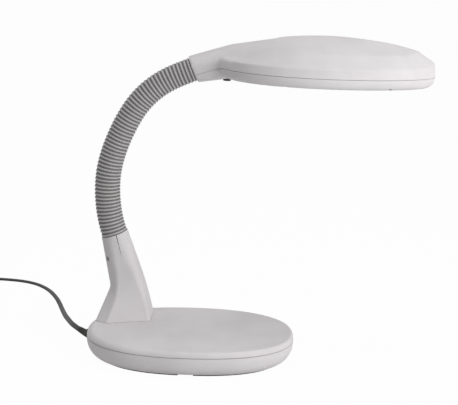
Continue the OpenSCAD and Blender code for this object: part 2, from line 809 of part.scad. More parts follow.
module head_frame() {
  color(shell_grey) difference() {
    union() {
      difference() {
        head_shell();
        above_seam(-head_gap / 2);
      }
      intersection() {
        head_place() at_each(head_screws_at) translate([0, 0, -drop]) cylinder(d = head_boss_d, h = drop);
        head_form(head_wall / 2);
      }
      head_place() translate([button_x, 0, -pad_low]) cylinder(r = barrel_r + pad_wall, h = pad_h);
    }
    head_place() at_each(head_screws_at) {
      translate([0, 0, -drop - 1]) cylinder(d = head_screw_d + 2 * fit, h = drop + 2);
      translate([0, 0, -drop - 1]) cylinder(r = screw_head_r + fit, h = drop + 1 - head_seat);
    }
    head_place() translate([button_x, 0, -2 * pad_low]) cylinder(r = barrel_r + fit / 2, h = 2 * pad_low);
  }
}

module head_screws() {
  color(steel) head_place() at_each(head_screws_at)
    translate([0, 0, -head_seat - screw_head_h]) screw(head_screw_d, head_seat + screw_head_h + wall_h - 4);
}

lip_z = -drop + head_wall;
flange = 4.5;
refl_in = 12;

module reflector() {
  color(white) head_place() difference() {
    union() {
      translate([0, 0, lip_z]) linear_extrude(reflector_t) polygon(open_ring(flange));
      loft([at_height(open_ring(reflector_t), lip_z), at_height(open_ring(reflector_t - refl_in), reflector_h)]);
    }
    loft([at_height(open_ring(0), lip_z - eps), at_height(open_ring(-refl_in), reflector_h - reflector_t)]);
  }
}

tube_z = 3;
holder = [14, 30, reflector_h - reflector_t + 6];
cap = [22, 28, 18];
holder_x = shade_back + open_rear + refl_in + 5;
lamp_x = holder_x + holder[0];
tube_seat = 8;
bridge_d = 7.5;
pin_r = 1.2;
pin_len = 7;

module lamp_holder() {
  color(white) head_place() difference() {
    translate([holder_x, -holder[1] / 2, reflector_h - reflector_t - holder[2]]) cube(holder);
    for (side = [-1, 1]) translate([lamp_x - pin_len - 1, side * tube_pitch / 2, tube_z]) rotate([0, 90, 0])
      cylinder(r = pin_r + fit, h = pin_len + 2);
  }
}

module lamp_cap() {
  color(white) head_place() difference() {
    union() {
      translate([lamp_x, -cap[1] / 2, tube_z - cap[2] / 2]) cube(cap);
      for (side = [-1, 1]) translate([lamp_x - pin_len, side * tube_pitch / 2, tube_z]) rotate([0, 90, 0])
        cylinder(r = pin_r, h = pin_len + 1);
    }
    for (side = [-1, 1]) translate([lamp_x + cap[0] - tube_seat, side * tube_pitch / 2, tube_z]) rotate([0, 90, 0])
      cylinder(d = tube_d + fit, h = tube_seat + 1);
  }
}

module lamp_tube() {
  from = lamp_x + cap[0] - tube_seat + fit;
  straight = lamp_x + lamp_len - tube_d / 2 - from;
  color(white) head_place() {
    for (side = [-1, 1]) translate([from, side * tube_pitch / 2, tube_z]) rotate([0, 90, 0]) {
      cylinder(d = tube_d, h = straight);
      translate([0, 0, straight]) sphere(d = tube_d);
    }
    translate([from + straight - tube_d, 0, tube_z]) rotate([90, 0, 0])
      cylinder(d = bridge_d, h = tube_pitch, center = true);
  }
}

clip_ahead = 45.5;
clip_w = 7;
clip_side = 2;
clip_under = 2;
clip_x = shade_mid + clip_ahead;
module tube_clip() {
  top = reflector_h - reflector_t;
  wide = tube_pitch + tube_d + 2 * clip_side;
  color(steel) head_place() difference() {
    translate([clip_x, -wide / 2, tube_z - clip_under]) cube([clip_w, wide, top - tube_z + clip_under]);
    for (side = [-1, 1]) translate([clip_x - 1, side * tube_pitch / 2, tube_z]) rotate([0, 90, 0])
      cylinder(d = tube_d + 2 * fit, h = clip_w + 2);
    translate([clip_x - 1, -tube_pitch / 2, tube_z - clip_under - 1])
      cube([clip_w + 2, tube_pitch, clip_under + 1]);
  }
}

switch_box = [16, 16, 12];
switch_lift = 6;
switch_lead_r = 1.4;
button_in = 6.4;
module switch_body() {
  color(black) head_place() translate([button_x, 0, -pad_low]) difference() {
    union() {
      translate([-switch_box[0] / 2, -switch_box[1] / 2, switch_lift]) cube(switch_box);
      cylinder(r = barrel_r, h = switch_lift + 1);
    }
    translate([0, 0, -1]) cylinder(d = button_d + 2 * fit, h = 1 + button_in + button_travel + fit);
  }
}

module switch_button() {
  color(black) head_place() translate([button_x, 0, -pad_low - button_out]) {
    cylinder(d1 = button_d - 1, d2 = button_d, h = 1);
    translate([0, 0, 1]) cylinder(d = button_d, h = button_out + button_in - 1);
  }
}

module switch_lead() {
  p = [button_x, 0, -pad_low + switch_lift + switch_box[2]];
  end = [holder_x + holder[0] / 2, 0, reflector_h];
  route = [p, p + [0, 0, 3], p + [3, 0, 8], p + [9, 0, 13], [24, 0, 20], [34, 0, 21.5],
    end + [-5, 0, 7], end + [0, 0, 3], end];
  color(black) head_place() sweep(route, switch_lead_r, 8, up = [0, 1, 0]);
}

module base_lead() {
  p = [shell - base_len / 2, bush_y, bush_z];
  q = [terminal_at[0] - terminal[0] / 2, terminal_at[1], floor_z + terminal[2] / 2];
  color(black) sweep([p, p + [14, 0, 0], p + [22, 5, -1], q + [-16, -8, 1], q + [-8, -1, 0], q + [-5, 0, 0], q],
    base_lead_r, 8);
}

echo(neck_points = [for (k = [0 : links]) link_start(k)], neck_angles = [for (k = [0 : links]) link_angle(k)]);
echo(head_at = head_at);

base_cover();
base_tray();
base_screws();
foot_strip();
ballast_weight();
weight_screws();
choke_core();
choke_coil();
choke_screws();
terminal_block();
terminal_screws();
base_lead();
cord_bush();
power_cord();
cord_coil();
cord_tie();
plug_body();
plug_blades();
post_front();
post_rear_cover();
post_rear_screw();
post_screws();
neck_nut();
neck_end_nut();
head_cover();
head_frame();
head_screws();
reflector();
lamp_holder();
lamp_cap();
lamp_tube();
tube_clip();
switch_body();
switch_button();
switch_lead();
for (k = [1 : links]) neck_link(k - 1);
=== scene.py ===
import math

import bmesh
import bpy
from mathutils import Matrix, Vector


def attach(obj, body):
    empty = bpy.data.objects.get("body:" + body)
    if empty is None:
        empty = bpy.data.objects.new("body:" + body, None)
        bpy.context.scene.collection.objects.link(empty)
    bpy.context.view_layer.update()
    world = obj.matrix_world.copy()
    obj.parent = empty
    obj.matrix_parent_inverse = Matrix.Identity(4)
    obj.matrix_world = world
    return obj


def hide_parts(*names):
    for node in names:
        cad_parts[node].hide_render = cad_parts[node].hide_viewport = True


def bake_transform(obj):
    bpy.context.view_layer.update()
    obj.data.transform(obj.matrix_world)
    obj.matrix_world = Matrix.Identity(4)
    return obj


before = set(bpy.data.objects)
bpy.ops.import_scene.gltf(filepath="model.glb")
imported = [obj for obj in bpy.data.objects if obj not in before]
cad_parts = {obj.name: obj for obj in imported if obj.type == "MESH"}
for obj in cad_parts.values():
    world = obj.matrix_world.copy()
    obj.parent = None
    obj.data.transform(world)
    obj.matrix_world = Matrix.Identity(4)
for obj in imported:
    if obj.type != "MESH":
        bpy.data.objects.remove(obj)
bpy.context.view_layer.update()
scene = bpy.context.scene
scene.view_settings.view_transform = "Standard"
print("frame loaded:", len(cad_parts), "solids")

# All shapes are drawn in millimetres and made metres when they become objects
metre = 0.001
perMetre = 1000
tiny = 1e-9
sideways = Vector((0, 1, 0))
upward = Vector((0, 0, 1))

# Where the photograph was taken from: eye in metres, tilt and roll in degrees, lens and sensor in mm
view = {"eye": (0.0408, -1.4082, 0.519), "tilt": 76.8, "roll": 1.88, "lens": 98.25, "sensor": 36}
cameraData = bpy.data.cameras.new("photoCamera")
cameraData.lens = view["lens"]
cameraData.sensor_width = view["sensor"]
photoCamera = bpy.data.objects.new("photoCamera", cameraData)
photoCamera.matrix_world = (Matrix.Translation(view["eye"])
                            @ Matrix.Rotation(math.radians(view["tilt"]), 4, "X")
                            @ Matrix.Rotation(math.radians(view["roll"]), 4, "Z"))
scene.collection.objects.link(photoCamera)
scene.camera = photoCamera
print("camera set")


# Hex code of a screen colour to linear light
def colour(code):
    parts = [int(code[i:i + 2], 16) / 255 for i in (1, 3, 5)]
    return [p / 12.92 if p <= 0.04045 else ((p + 0.055) / 1.055) ** 2.4 for p in parts] + [1]


def addNode(tree, kind, inputs=None, **settings):
    node = tree.nodes.new(kind)
    for key, value in settings.items():
        setattr(node, key, value)
    for key, value in (inputs or {}).items():
        if isinstance(value, bpy.types.NodeSocket):
            tree.links.new(value, node.inputs[key])
        else:
            node.inputs[key].default_value = value
    return node


def newFinish(name, sockets=None):
    material = bpy.data.materials.new(name)
    material.use_nodes = True
    tree = material.node_tree
    shader = tree.nodes["Principled BSDF"]
    for key, value in (sockets or {}).items():
        shader.inputs[key].default_value = value
    return material, tree, shader


# Noise whose clouds have about the given size in mm
def noise(tree, place, size, detail=3.0):
    made = addNode(tree, "ShaderNodeTexNoise", {"Vector": place, "Scale": perMetre / size, "Detail": detail})
    return made.outputs[0]


def paint(tree, shader, level, stops):
    tone = addNode(tree, "ShaderNodeValToRGB", {"Fac": level})
    elements = tone.color_ramp.elements
    while len(elements) < len(stops):
        elements.new(0.5)
    for element, (place, code) in zip(elements, stops):
        element.position = place
        element.color = colour(code)
    tree.links.new(tone.outputs[0], shader.inputs["Base Color"])


def roughen(tree, shader, level, low, high, start=0, stop=1):
    gloss = addNode(tree, "ShaderNodeMapRange",
                    {"Value": level, "From Min": start, "From Max": stop, "To Min": low, "To Max": high})
    tree.links.new(gloss.outputs[0], shader.inputs["Roughness"])


def emboss(tree, shader, height, strength, relief):
    bump = addNode(tree, "ShaderNodeBump",
                   {"Height": height, "Strength": strength, "Distance": relief * metre})
    tree.links.new(bump.outputs[0], shader.inputs["Normal"])


grainLook = {"deepAt": 0.35, "paleAt": 0.65, "grainDetail": 2.0, "grainFrom": 0.3, "grainTo": 0.7,
             "glossSpread": 0.06, "bump": 0.25}


# A cloudy tone, a fine grain in the gloss and a shallow relief; cloud, grain and relief are sizes in mm
def grainedFinish(name, pale, deep, cloud, grain, rough, relief, stretch=(1, 1, 1), sockets=None):
    material, tree, shader = newFinish(name, sockets)
    place = addNode(tree, "ShaderNodeTexCoord")
    drawn = addNode(tree, "ShaderNodeMapping", {"Vector": place.outputs["Object"], "Scale": stretch})
    clouds = noise(tree, drawn.outputs[0], cloud)
    grains = noise(tree, drawn.outputs[0], grain, grainLook["grainDetail"])
    paint(tree, shader, clouds, [(grainLook["deepAt"], deep), (grainLook["paleAt"], pale)])
    roughen(tree, shader, grains, rough - grainLook["glossSpread"], rough + grainLook["glossSpread"],
            grainLook["grainFrom"], grainLook["grainTo"])
    emboss(tree, shader, grains, grainLook["bump"], relief)
    return material


# Pale warm-grey moulded plastic with a fine spark texture: an even, dull face and hardly any sheen
shellPlastic = grainedFinish("satinGreyPlastic", "#D6D3D4", "#CFCCCD", 45, 1.6, 0.62, 0.02,
                             sockets={"Specular IOR Level": 0.12})
# Black moulding of switch and plug: a little sheen on the rounded edges
blackMoulding = grainedFinish("satinBlackPlastic", "#262525", "#1B1A1A", 20, 1.2, 0.42, 0.06)
# Black rubber: dull, with a powdery cast
footRubber = grainedFinish("dullBlackRubber", "#2E2D2C", "#222120", 15, 1.5, 0.75, 0.1)
# White polyamide of the lamp's socket and the terminals: faintly yellow and waxy
whitePolyamide = grainedFinish("whitePolyamide", "#EBE8DF", "#E2DED3", 18, 1.4, 0.4, 0.05)
# White stove enamel of the reflector: glossy with a slight orange peel
reflectorEnamel = grainedFinish("whiteStoveEnamel", "#F1F1EE", "#EAEAE6", 60, 3.0, 0.2, 0.03)
# Phosphor powder behind the lamp's glass: an even milky white under a clear gloss
phosphorGlass = grainedFinish("phosphorCoatedGlass", "#F3F2EC", "#E9E7DE", 30, 1.0, 0.16, 0.01,
                              sockets={"Coat Weight": 0.5})
# Raw iron of weight and choke: dark, rough and blotched
rawIron = grainedFinish("rawIron", "#4C4A49", "#37363A", 12, 1.8, 0.62, 0.25, sockets={"Metallic": 0.7})
# Zinc plating of the screws and the clip: pale bright metal, brushed one way
zincSteel = grainedFinish("zincPlatedSteel", "#C3C5C8", "#A9ABAF", 6, 0.9, 0.32, 0.03, (0.25, 1, 1),
                          {"Metallic": 1.0})
# Grey phosphate on the rear cover's screw: a dull mid-grey metal in its recess
greyPhosphate = grainedFinish("greyPhosphateSteel", "#8A8989", "#767575", 6, 0.9, 0.6, 0.03,
                              sockets={"Metallic": 0.4})
# Nickel on the plug's blades: warmer and smoother than the zinc
nickelBrass = grainedFinish("nickelPlatedBrass", "#CFC9BC", "#BDB6A8", 8, 0.8, 0.25, 0.02, (1, 0.2, 1),
                            {"Metallic": 1.0})

# Enamelled copper wire: rows of turns with painted shade between them; wire is its thickness in mm
windingLook = {"wire": 1.4, "uneven": 0.4, "bump": 0.5, "relief": 0.3,
               "sockets": {"Metallic": 0.8, "Roughness": 0.35},
               "tones": [(0.15, "#4A2411"), (0.6, "#A6562A")]}


# A wave texture of scale s has one band every pi / (10 s) metres
def windingFinish():
    material, tree, shader = newFinish("enamelledCopperWire", windingLook["sockets"])
    place = addNode(tree, "ShaderNodeTexCoord")
    bands = math.pi / (10 * windingLook["wire"] * metre)
    turns = addNode(tree, "ShaderNodeTexWave",
                    {"Vector": place.outputs["Object"], "Scale": bands, "Distortion": windingLook["uneven"]},
                    bands_direction="X")
    # The troughs between the bands take the dark tone as painted shade between the turns
    paint(tree, shader, turns.outputs[1], windingLook["tones"])
    emboss(tree, shader, turns.outputs[1], windingLook["bump"], windingLook["relief"])
    return material


# Grey vinyl sleeve of the neck: pale ribs, and grooves painted dark as painted shade; mark is 0 on a rib and
# 1 in a groove
sleeveLook = {"cloud": 9, "blotch": 0.16, "ribRough": 0.46, "grooveRough": 0.85, "bump": 0.2, "relief": 0.1,
              "tones": [(0.05, "#B3B1B1"), (0.35, "#A09E9E"), (0.62, "#7F7D7D"), (0.95, "#706E6E")]}


def sleeveFinish():
    material, tree, shader = newFinish("ribbedGreyVinyl")
    mark = addNode(tree, "ShaderNodeAttribute", attribute_name="mark")
    place = addNode(tree, "ShaderNodeTexCoord")
    clouds = noise(tree, place.outputs["Object"], sleeveLook["cloud"])
    blotch = addNode(tree, "ShaderNodeMath", {0: clouds, 1: sleeveLook["blotch"]}, operation="MULTIPLY")
    # The dark tones in the grooves are painted shade; the cloud blotches are the vinyl's own uneven tone
    depth = addNode(tree, "ShaderNodeMath", {0: mark.outputs["Fac"], 1: blotch.outputs[0]}, operation="ADD")
    paint(tree, shader, depth.outputs[0], sleeveLook["tones"])
    roughen(tree, shader, depth.outputs[0], sleeveLook["ribRough"], sleeveLook["grooveRough"])
    emboss(tree, shader, clouds, sleeveLook["bump"], sleeveLook["relief"])
    return material


# Black vinyl twin lead with a patchy painted highlight, greyer along the web between its two cores; mark is
# 1 on the web
leadLook = {"cloud": 7, "roughFrom": 0.48, "roughTo": 0.68, "tones": [(0.05, "#181717"), (0.7, "#3D3C3B")]}


def leadFinish():
    material, tree, shader = newFinish("blackVinylLead")
    mark = addNode(tree, "ShaderNodeAttribute", attribute_name="mark")
    place = addNode(tree, "ShaderNodeTexCoord")
    clouds = noise(tree, place.outputs["Object"], leadLook["cloud"])
    # Painted highlight: lighter grey along the web, broken up by the clouds
    webHighlight = addNode(tree, "ShaderNodeMath", {0: mark.outputs["Fac"], 1: clouds}, operation="MULTIPLY")
    paint(tree, shader, webHighlight.outputs[0], leadLook["tones"])
    roughen(tree, shader, clouds, leadLook["roughFrom"], leadLook["roughTo"])
    return material


copperWinding = windingFinish()
ribbedVinyl = sleeveFinish()
leadVinyl = leadFinish()
print("finishes mixed")


# Angles of evenly spaced points round a ring
def roundTurns(count):
    return [2 * math.pi * k / count for k in range(count)]


# Even steps from just above 0 up to 1
def shares(count):
    return [k / count for k in range(1, count + 1)]


# Point of an oval with half-axes of 1; full is 2 for an ellipse and more for squarer sides
def ovalPoint(turn, full):
    c = math.cos(turn)
    s = math.sin(turn)
    return math.copysign(abs(c) ** (2 / full), c), math.copysign(abs(s) ** (2 / full), s)


# Rings of equal point counts, skinned one after the other; marks go into a vertex layer for the finish
def growRings(rings, ringMarks=None, pointMarks=None):
    shape = bmesh.new()
    step = shape.verts.layers.int.new("step")
    mark = shape.verts.layers.float.new("mark")
    start = bmesh.ops.create_circle(shape, segments=len(rings[0]), radius=1)["verts"]
    for i, vert in enumerate(start):
        vert[step] = i
        vert.co = rings[0][i]
        vert[mark] = ringMarks[0] if ringMarks else pointMarks[i] if pointMarks else 0
    edges = shape.edges[:]
    for k, ring in enumerate(rings[1:], 1):
        grown = bmesh.ops.extrude_edge_only(shape, edges=edges)["geom"]
        edges = [g for g in grown if isinstance(g, bmesh.types.BMEdge) and g.is_boundary]
        for vert in [g for g in grown if isinstance(g, bmesh.types.BMVert)]:
            vert.co = ring[vert[step]]
            if ringMarks:
                vert[mark] = ringMarks[k]
    return shape


def closeUp(shape, merge=0.001):
    bmesh.ops.remove_doubles(shape, verts=shape.verts, dist=merge)
    bmesh.ops.holes_fill(shape, edges=shape.edges, sides=0)
    bmesh.ops.recalc_face_normals(shape, faces=shape.faces)
    return shape


def addTo(shape, other):
    carrier = bpy.data.meshes.new("carrier")
    other.to_mesh(carrier)
    other.free()
    shape.from_mesh(carrier)
    bpy.data.meshes.remove(carrier)


def modified(shape, kind, **settings):
    carrier = bpy.data.meshes.new("carrier")
    shape.to_mesh(carrier)
    shape.free()
    draft = bpy.data.objects.new("draft", carrier)
    scene.collection.objects.link(draft)
    modifier = draft.modifiers.new(kind, kind)
    for key, value in settings.items():
        setattr(modifier, key, value)
    made = bmesh.new()
    made.from_object(draft, bpy.context.evaluated_depsgraph_get())
    bpy.data.objects.remove(draft)
    bpy.data.meshes.remove(carrier)
    return made


def combined(shape, tool, operation):
    carrier = bpy.data.meshes.new("tool")
    tool.to_mesh(carrier)
    tool.free()
    toolObject = bpy.data.objects.new("tool", carrier)
    scene.collection.objects.link(toolObject)
    made = modified(shape, "BOOLEAN", object=toolObject, operation=operation, solver="EXACT")
    bpy.data.objects.remove(toolObject)
    bpy.data.meshes.remove(carrier)
    return made


def cutAway(shape, tool):
    return combined(shape, tool, "DIFFERENCE")


rodPoints = 40


# A turned form; radii are pairs of height along the way and radius
def rod(radii, start, way):
    way = Vector(way).normalized()
    turn = way.to_track_quat("Z", "Y").to_matrix()
    rings = [[Vector(start) + turn @ Vector((r * math.cos(a), r * math.sin(a), h))
              for a in roundTurns(rodPoints)] for h, r in radii]
    return closeUp(growRings(rings))


# Cutter of one radius; cut is where it begins and ends on its way
def bore(radius, cut, at, way=upward):
    return rod([(h, radius) for h in cut], at, way)


def asPiece(shape, name, finish, sharp=38):
    bmesh.ops.scale(shape, vec=(metre, metre, metre), verts=shape.verts)
    mesh = bpy.data.meshes.new(name)
    shape.to_mesh(mesh)
    shape.free()
    mesh.shade_smooth()
    mesh.set_sharp_from_angle(angle=math.radians(sharp))
    mesh.materials.clear()
    mesh.materials.append(finish)
    piece = bpy.data.objects.new(name, mesh)
    scene.collection.objects.link(piece)
    return piece


# Corner centres of an outline, rounded by one radius; the same count of points on each corner
def roundedOutline(corners, radius, steps):
    points = []
    for i, corner in enumerate(corners):
        before = Vector(corner) - Vector(corners[i - 1])
        after = Vector(corners[(i + 1) % len(corners)]) - Vector(corner)
        begin = math.atan2(before.y, before.x) - math.pi / 2
        bend = (math.atan2(after.y, after.x) - math.pi / 2 - begin + tiny) % (2 * math.pi)
        for k in range(steps + 1):
            a = begin + bend * k / steps
            points.append(Vector((corner[0] + radius * math.cos(a), corner[1] + radius * math.sin(a))))
    return points


# Mains lead: leaves the bush, sags to the table and ends in a tied coil with its plug
lead = {"width": 6.2, "height": 3.6, "waist": 0.3, "waistReach": 0.9, "webReach": 1.1, "points": 24,
        "bushTwist": 55, "straight": 6, "flatAfter": 165, "lieHeight": 1.95, "routeSteps": 6,
        "coilCentre": (-322, 230.9), "coilRadius": 25.5, "coilPitch": 6.7, "coilTurns": 6.25, "coilFrom": 90,
        "coilBack": 3, "coilRamp": 0.5, "coilLow": 2.95, "turnSteps": 48, "layer": 4.2,
        "tail": 25, "tailSteps": 8, "plugHeight": 11.1}
# Strain relief; root, tip and collar are pairs of place and radius, ribForm of rise and sink
bush = {"at": (-124.5, 9, 20.5), "turn": 55, "length": 17, "flat": 0.66, "hole": (-122, 9, 20.5),
        "holeRadius": 4.7, "holeCut": (-10, 10), "ribs": 5, "ribFrom": 2.0, "ribPitch": 2.9,
        "ribRadius": 4.15, "ribTaper": 0.14,
        "ribForm": [(0, 0), (0.2, 0.5), (0.9, 0.55), (1.1, 0.05), (2.4, 0.1)],
        "root": [(-3.5, 3.0), (-3.2, 4.2), (1.0, 4.2)], "tip": [(16.6, 3.5), (17, 3.3)],
        "collar": [(-11, 4.4), (-0.4, 4.6), (-0.2, 5.4), (0.2, 5.5), (1.7, 5.4), (2.3, 5.0), (2.5, 4.4)]}
bushWay = Vector((-math.cos(math.radians(bush["turn"])), math.sin(math.radians(bush["turn"])), 0))
bushEnd = Vector(bush["at"]) + bush["length"] * bushWay
lie = lead["lieHeight"]
leadRoute = [bushEnd, bushEnd + lead["straight"] * bushWay, (-145.5, 44, 19.3), (-151, 61, 17.1),
             (-156, 79, 14.3), (-161, 98, 11.1), (-165.5, 118, 7.7), (-170, 138, 4.7), (-174.5, 157, 2.7),
             (-179.5, 176, lie), (-185.5, 195, lie), (-192.5, 213, lie), (-200.5, 230, lie),
             (-210, 245, lie), (-221.5, 258, lie), (-235, 267.5, lie), (-250, 273.5, lie), (-266, 276, 2.2),
             (-282, 276.5, 2.6), (-298, 276.5, lead["coilLow"]), (-309, 276.5, lead["coilLow"]),
             (-316, 276.5, lead["coilLow"])]


def throughPoints(points, steps):
    points = [Vector(p) for p in points]
    ends = [2 * points[0] - points[1]] + points + [2 * points[-1] - points[-2]]
    line = []
    for a, b, c, d in zip(ends, ends[1:], ends[2:], ends[3:]):
        for k in range(steps):
            t = k / steps
            line.append(0.5 * (2 * b + (c - a) * t + (2 * a - 5 * b + 4 * c - d) * t * t
                               + (3 * b - a - 3 * c + d) * t ** 3))
    return line + [points[-1]]


def eased(f):
    f = min(1, max(0, f))
    return f * f * (3 - 2 * f)


# The coil winds inwards, climbs a layer in half a turn and winds out again; u counts turns
def coilPoint(u):
    r = lead["coilRadius"] + lead["coilPitch"] * abs(u - lead["coilBack"])
    a = math.radians(lead["coilFrom"] + 360 * u)
    lift = lead["layer"] * eased((u - lead["coilBack"] + lead["coilRamp"] / 2) / lead["coilRamp"])
    return Vector((lead["coilCentre"][0] + r * math.cos(a), lead["coilCentre"][1] + r * math.sin(a),
                   lead["coilLow"] + lift))


coilSteps = round(lead["coilTurns"] * lead["turnSteps"])
coilLine = [coilPoint(lead["coilTurns"] * i / coilSteps) for i in range(coilSteps + 1)]
coilEnd = coilLine[-1]
plugAt = Vector((coilEnd.x, coilEnd.y - lead["tail"], lead["plugHeight"]))
tailLine = []
for f in shares(lead["tailSteps"]):
    point = coilEnd.lerp(plugAt, f)
    point.z = coilEnd.z + (plugAt.z - coilEnd.z) * eased(f)
    tailLine.append(point)
leadLine = throughPoints(leadRoute, lead["routeSteps"]) + coilLine + tailLine


# Flat twin section that stands on edge in the bush and has turned flat where it lies
def leadRings(line):
    rings = []
    length = 0
    for i, centre in enumerate(line):
        onward = (line[min(i + 1, len(line) - 1)] - line[max(i - 1, 0)]).normalized()
        side = onward.cross(upward).normalized()
        up = side.cross(onward)
        length += (centre - line[i - 1]).length if i else 0
        twist = math.radians(lead["bushTwist"]) * (1 - eased(length / lead["flatAfter"]))
        ring = []
        for a in roundTurns(lead["points"]):
            x = lead["width"] / 2 * math.cos(a)
            y = lead["height"] / 2 * math.sin(a)
            y *= 1 - lead["waist"] * math.exp(-(x / lead["waistReach"]) ** 2)
            ring.append(centre + side * (x * math.cos(twist) - y * math.sin(twist))
                        + up * (x * math.sin(twist) + y * math.cos(twist)))
        rings.append(ring)
    return rings


# Share of the painted highlight round the lead's section, most on the web between the cores
webMarks = [math.exp(-(lead["width"] / 2 * math.cos(a) / lead["webReach"]) ** 2)
            for a in roundTurns(lead["points"])]
leadForm = closeUp(growRings(leadRings(leadLine), pointMarks=webMarks))
mainsLead = asPiece(leadForm, "mainsLead", leadVinyl, sharp=60)
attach(mainsLead, "base")
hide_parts("power_cord", "cord_coil")

# Strain relief: flange in the tray's wall and a ribbed tapering nozzle, oval like the lead inside it
nozzle = list(bush["root"])
for k in range(bush["ribs"]):
    h = bush["ribFrom"] + bush["ribPitch"] * k
    r = bush["ribRadius"] - bush["ribTaper"] * k
    nozzle += [(h + rise, r - sink) for rise, sink in bush["ribForm"]]
nozzle += bush["tip"]
nozzleSide = bushWay.cross(upward)
nozzleTwist = math.radians(lead["bushTwist"])
nozzleWide = nozzleSide * math.cos(nozzleTwist) + upward * math.sin(nozzleTwist)
nozzleFlat = bushWay.cross(nozzleWide)
nozzleRings = []
for h, r in nozzle:
    nozzleRings.append([Vector(bush["at"]) + bushWay * h
                        + r * (nozzleWide * math.cos(a) + bush["flat"] * nozzleFlat * math.sin(a))
                        for a in roundTurns(rodPoints)])
strain = closeUp(growRings(nozzleRings))
addTo(strain, rod(bush["collar"], bush["hole"], (-1, 0, 0)))
strainRelief = asPiece(strain, "strainRelief", footRubber)
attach(strainRelief, "base")
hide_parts("cord_bush")

# Plug: ribbed neck, flared shoulders and a full body with a flat face for the blades
# start and body give place, half width, half height and fullness; ribForm gives rise, radius and growth
plug = {"points": 48, "start": (0, 3.7, 3.7, 2), "ribs": 3, "ribFrom": 1.2, "ribPitch": 3.4, "ribFull": 2,
        "ribForm": [(0, 4.6, 0.5), (1.6, 4.7, 0.5), (1.9, 3.9, 0.4), (3.0, 4.0, 0.4)],
        "body": [(12, 6.5, 6.3, 2.3), (14.5, 9.2, 8.6, 3), (18, 11.6, 10.2, 4), (22, 12.7, 10.9, 5),
                 (26, 13, 11.1, 5), (43.5, 13, 11.1, 5), (45, 12.6, 10.7, 5), (45.8, 11.8, 9.9, 5),
                 (46, 11, 9.1, 5)]}
plugForm = [plug["start"]]
for k in range(plug["ribs"]):
    h = plug["ribFrom"] + plug["ribPitch"] * k
    for rise, radius, growth in plug["ribForm"]:
        r = radius + growth * k
        plugForm.append((h + rise, r, r, plug["ribFull"]))
plugForm += plug["body"]


def plugRing(h, wide, tall, full):
    ring = []
    for turn in roundTurns(plug["points"]):
        x, z = ovalPoint(turn, full)
        ring.append(plugAt + Vector((wide * x, -h, tall * z)))
    return ring


plugBody = asPiece(closeUp(growRings([plugRing(*form) for form in plugForm])), "plugBody", blackMoulding)
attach(plugBody, "base")
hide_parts("plug_body")

# Band that holds the coil together, drawn round it at one place
tie = {"inside": 24.4, "outside": 46.8, "low": 0.95, "high": 9.1, "round": 1.2, "steps": 4, "band": 0.9,
       "width": 5, "turn": 315, "merge": 0.01}


def tieRing(grow, along):
    r = tie["round"]
    lo, hi = tie["inside"] + r, tie["outside"] - r
    corners = [(lo, tie["low"] + r), (hi, tie["low"] + r), (hi, tie["high"] - r), (lo, tie["high"] - r)]
    a = math.radians(tie["turn"])
    outward = Vector((math.cos(a), math.sin(a), 0))
    across = Vector((-math.sin(a), math.cos(a), 0))
    centre = Vector((*lead["coilCentre"], 0))
    return [centre + outward * p.x + across * along + Vector((0, 0, p.y))
            for p in roundedOutline(corners, r + grow, tie["steps"])]


halfBand = tie["width"] / 2
bandRings = [tieRing(0, -halfBand), tieRing(tie["band"], -halfBand), tieRing(tie["band"], halfBand),
             tieRing(0, halfBand), tieRing(0, -halfBand)]
cordTie = asPiece(closeUp(growRings(bandRings), tie["merge"]), "cordTie", footRubber)
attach(cordTie, "base")
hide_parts("cord_tie")
print("mains lead laid")

# Base: a flat-topped oval cover over a tray whose sides turn in to the table
# A tongue on the tray's wall stands inside the cover's lap
base = {"length": 244, "width": 168, "full": 2.3, "points": 160, "top": 33.5, "seam": 27, "gap": 0.6,
        "wall": 2.6, "rimLeft": 8, "rimRight": 3.5, "rimSide": 4, "crease": 78, "rimSteps": 14,
        "deckIn": (0.3, 1.2, 6, 20, 40, 60, 80), "flatIn": 60, "floorIn": 40, "ceilingIn": 14,
        "cornerIn": 8, "cornerDrop": 1.5, "edgeIn": 0.35, "edgeHigh": 0.3, "lap": 1.2, "lapHigh": 2.2,
        "tongueOut": 0.5, "tongueIn": 0.9, "tongueHigh": 1.6, "tongueRoot": 2, "trayIn": 19.5,
        "trayWall": 24, "traySteps": 18, "insideSteps": 10, "foot": 1.5, "stripIn": 17, "stripWidth": 8,
        "stripGap": (-9, 0), "stripStart": 0.75,
        "stripForm": [(0.06, 0), (0.94, 0), (1, 0.25), (1, 1), (0, 1), (0, 0.25)],
        "screws": [(-77, -28), (77, -28), (61, 36), (-30, 48)], "screwRecess": 3.1, "screwCut": (-3, 4.1)}


def baseRing(left, right, side, z):
    halfLong = (base["length"] - left - right) / 2
    halfWide = base["width"] / 2 - side
    ring = []
    for turn in roundTurns(base["points"]):
        x, y = ovalPoint(turn, base["full"])
        ring.append(Vector(((left - right) / 2 + halfLong * x, halfWide * y, z)))
    return ring


def evenRing(inset, z):
    return baseRing(inset, inset, inset, z)


def rimRing(turn):
    f = 1 - math.cos(math.radians(turn))
    rise = math.sin(math.radians(turn))
    return baseRing(base["rimLeft"] * f, base["rimRight"] * f, base["rimSide"] * f,
                    base["seam"] + (base["top"] - base["seam"]) * rise)


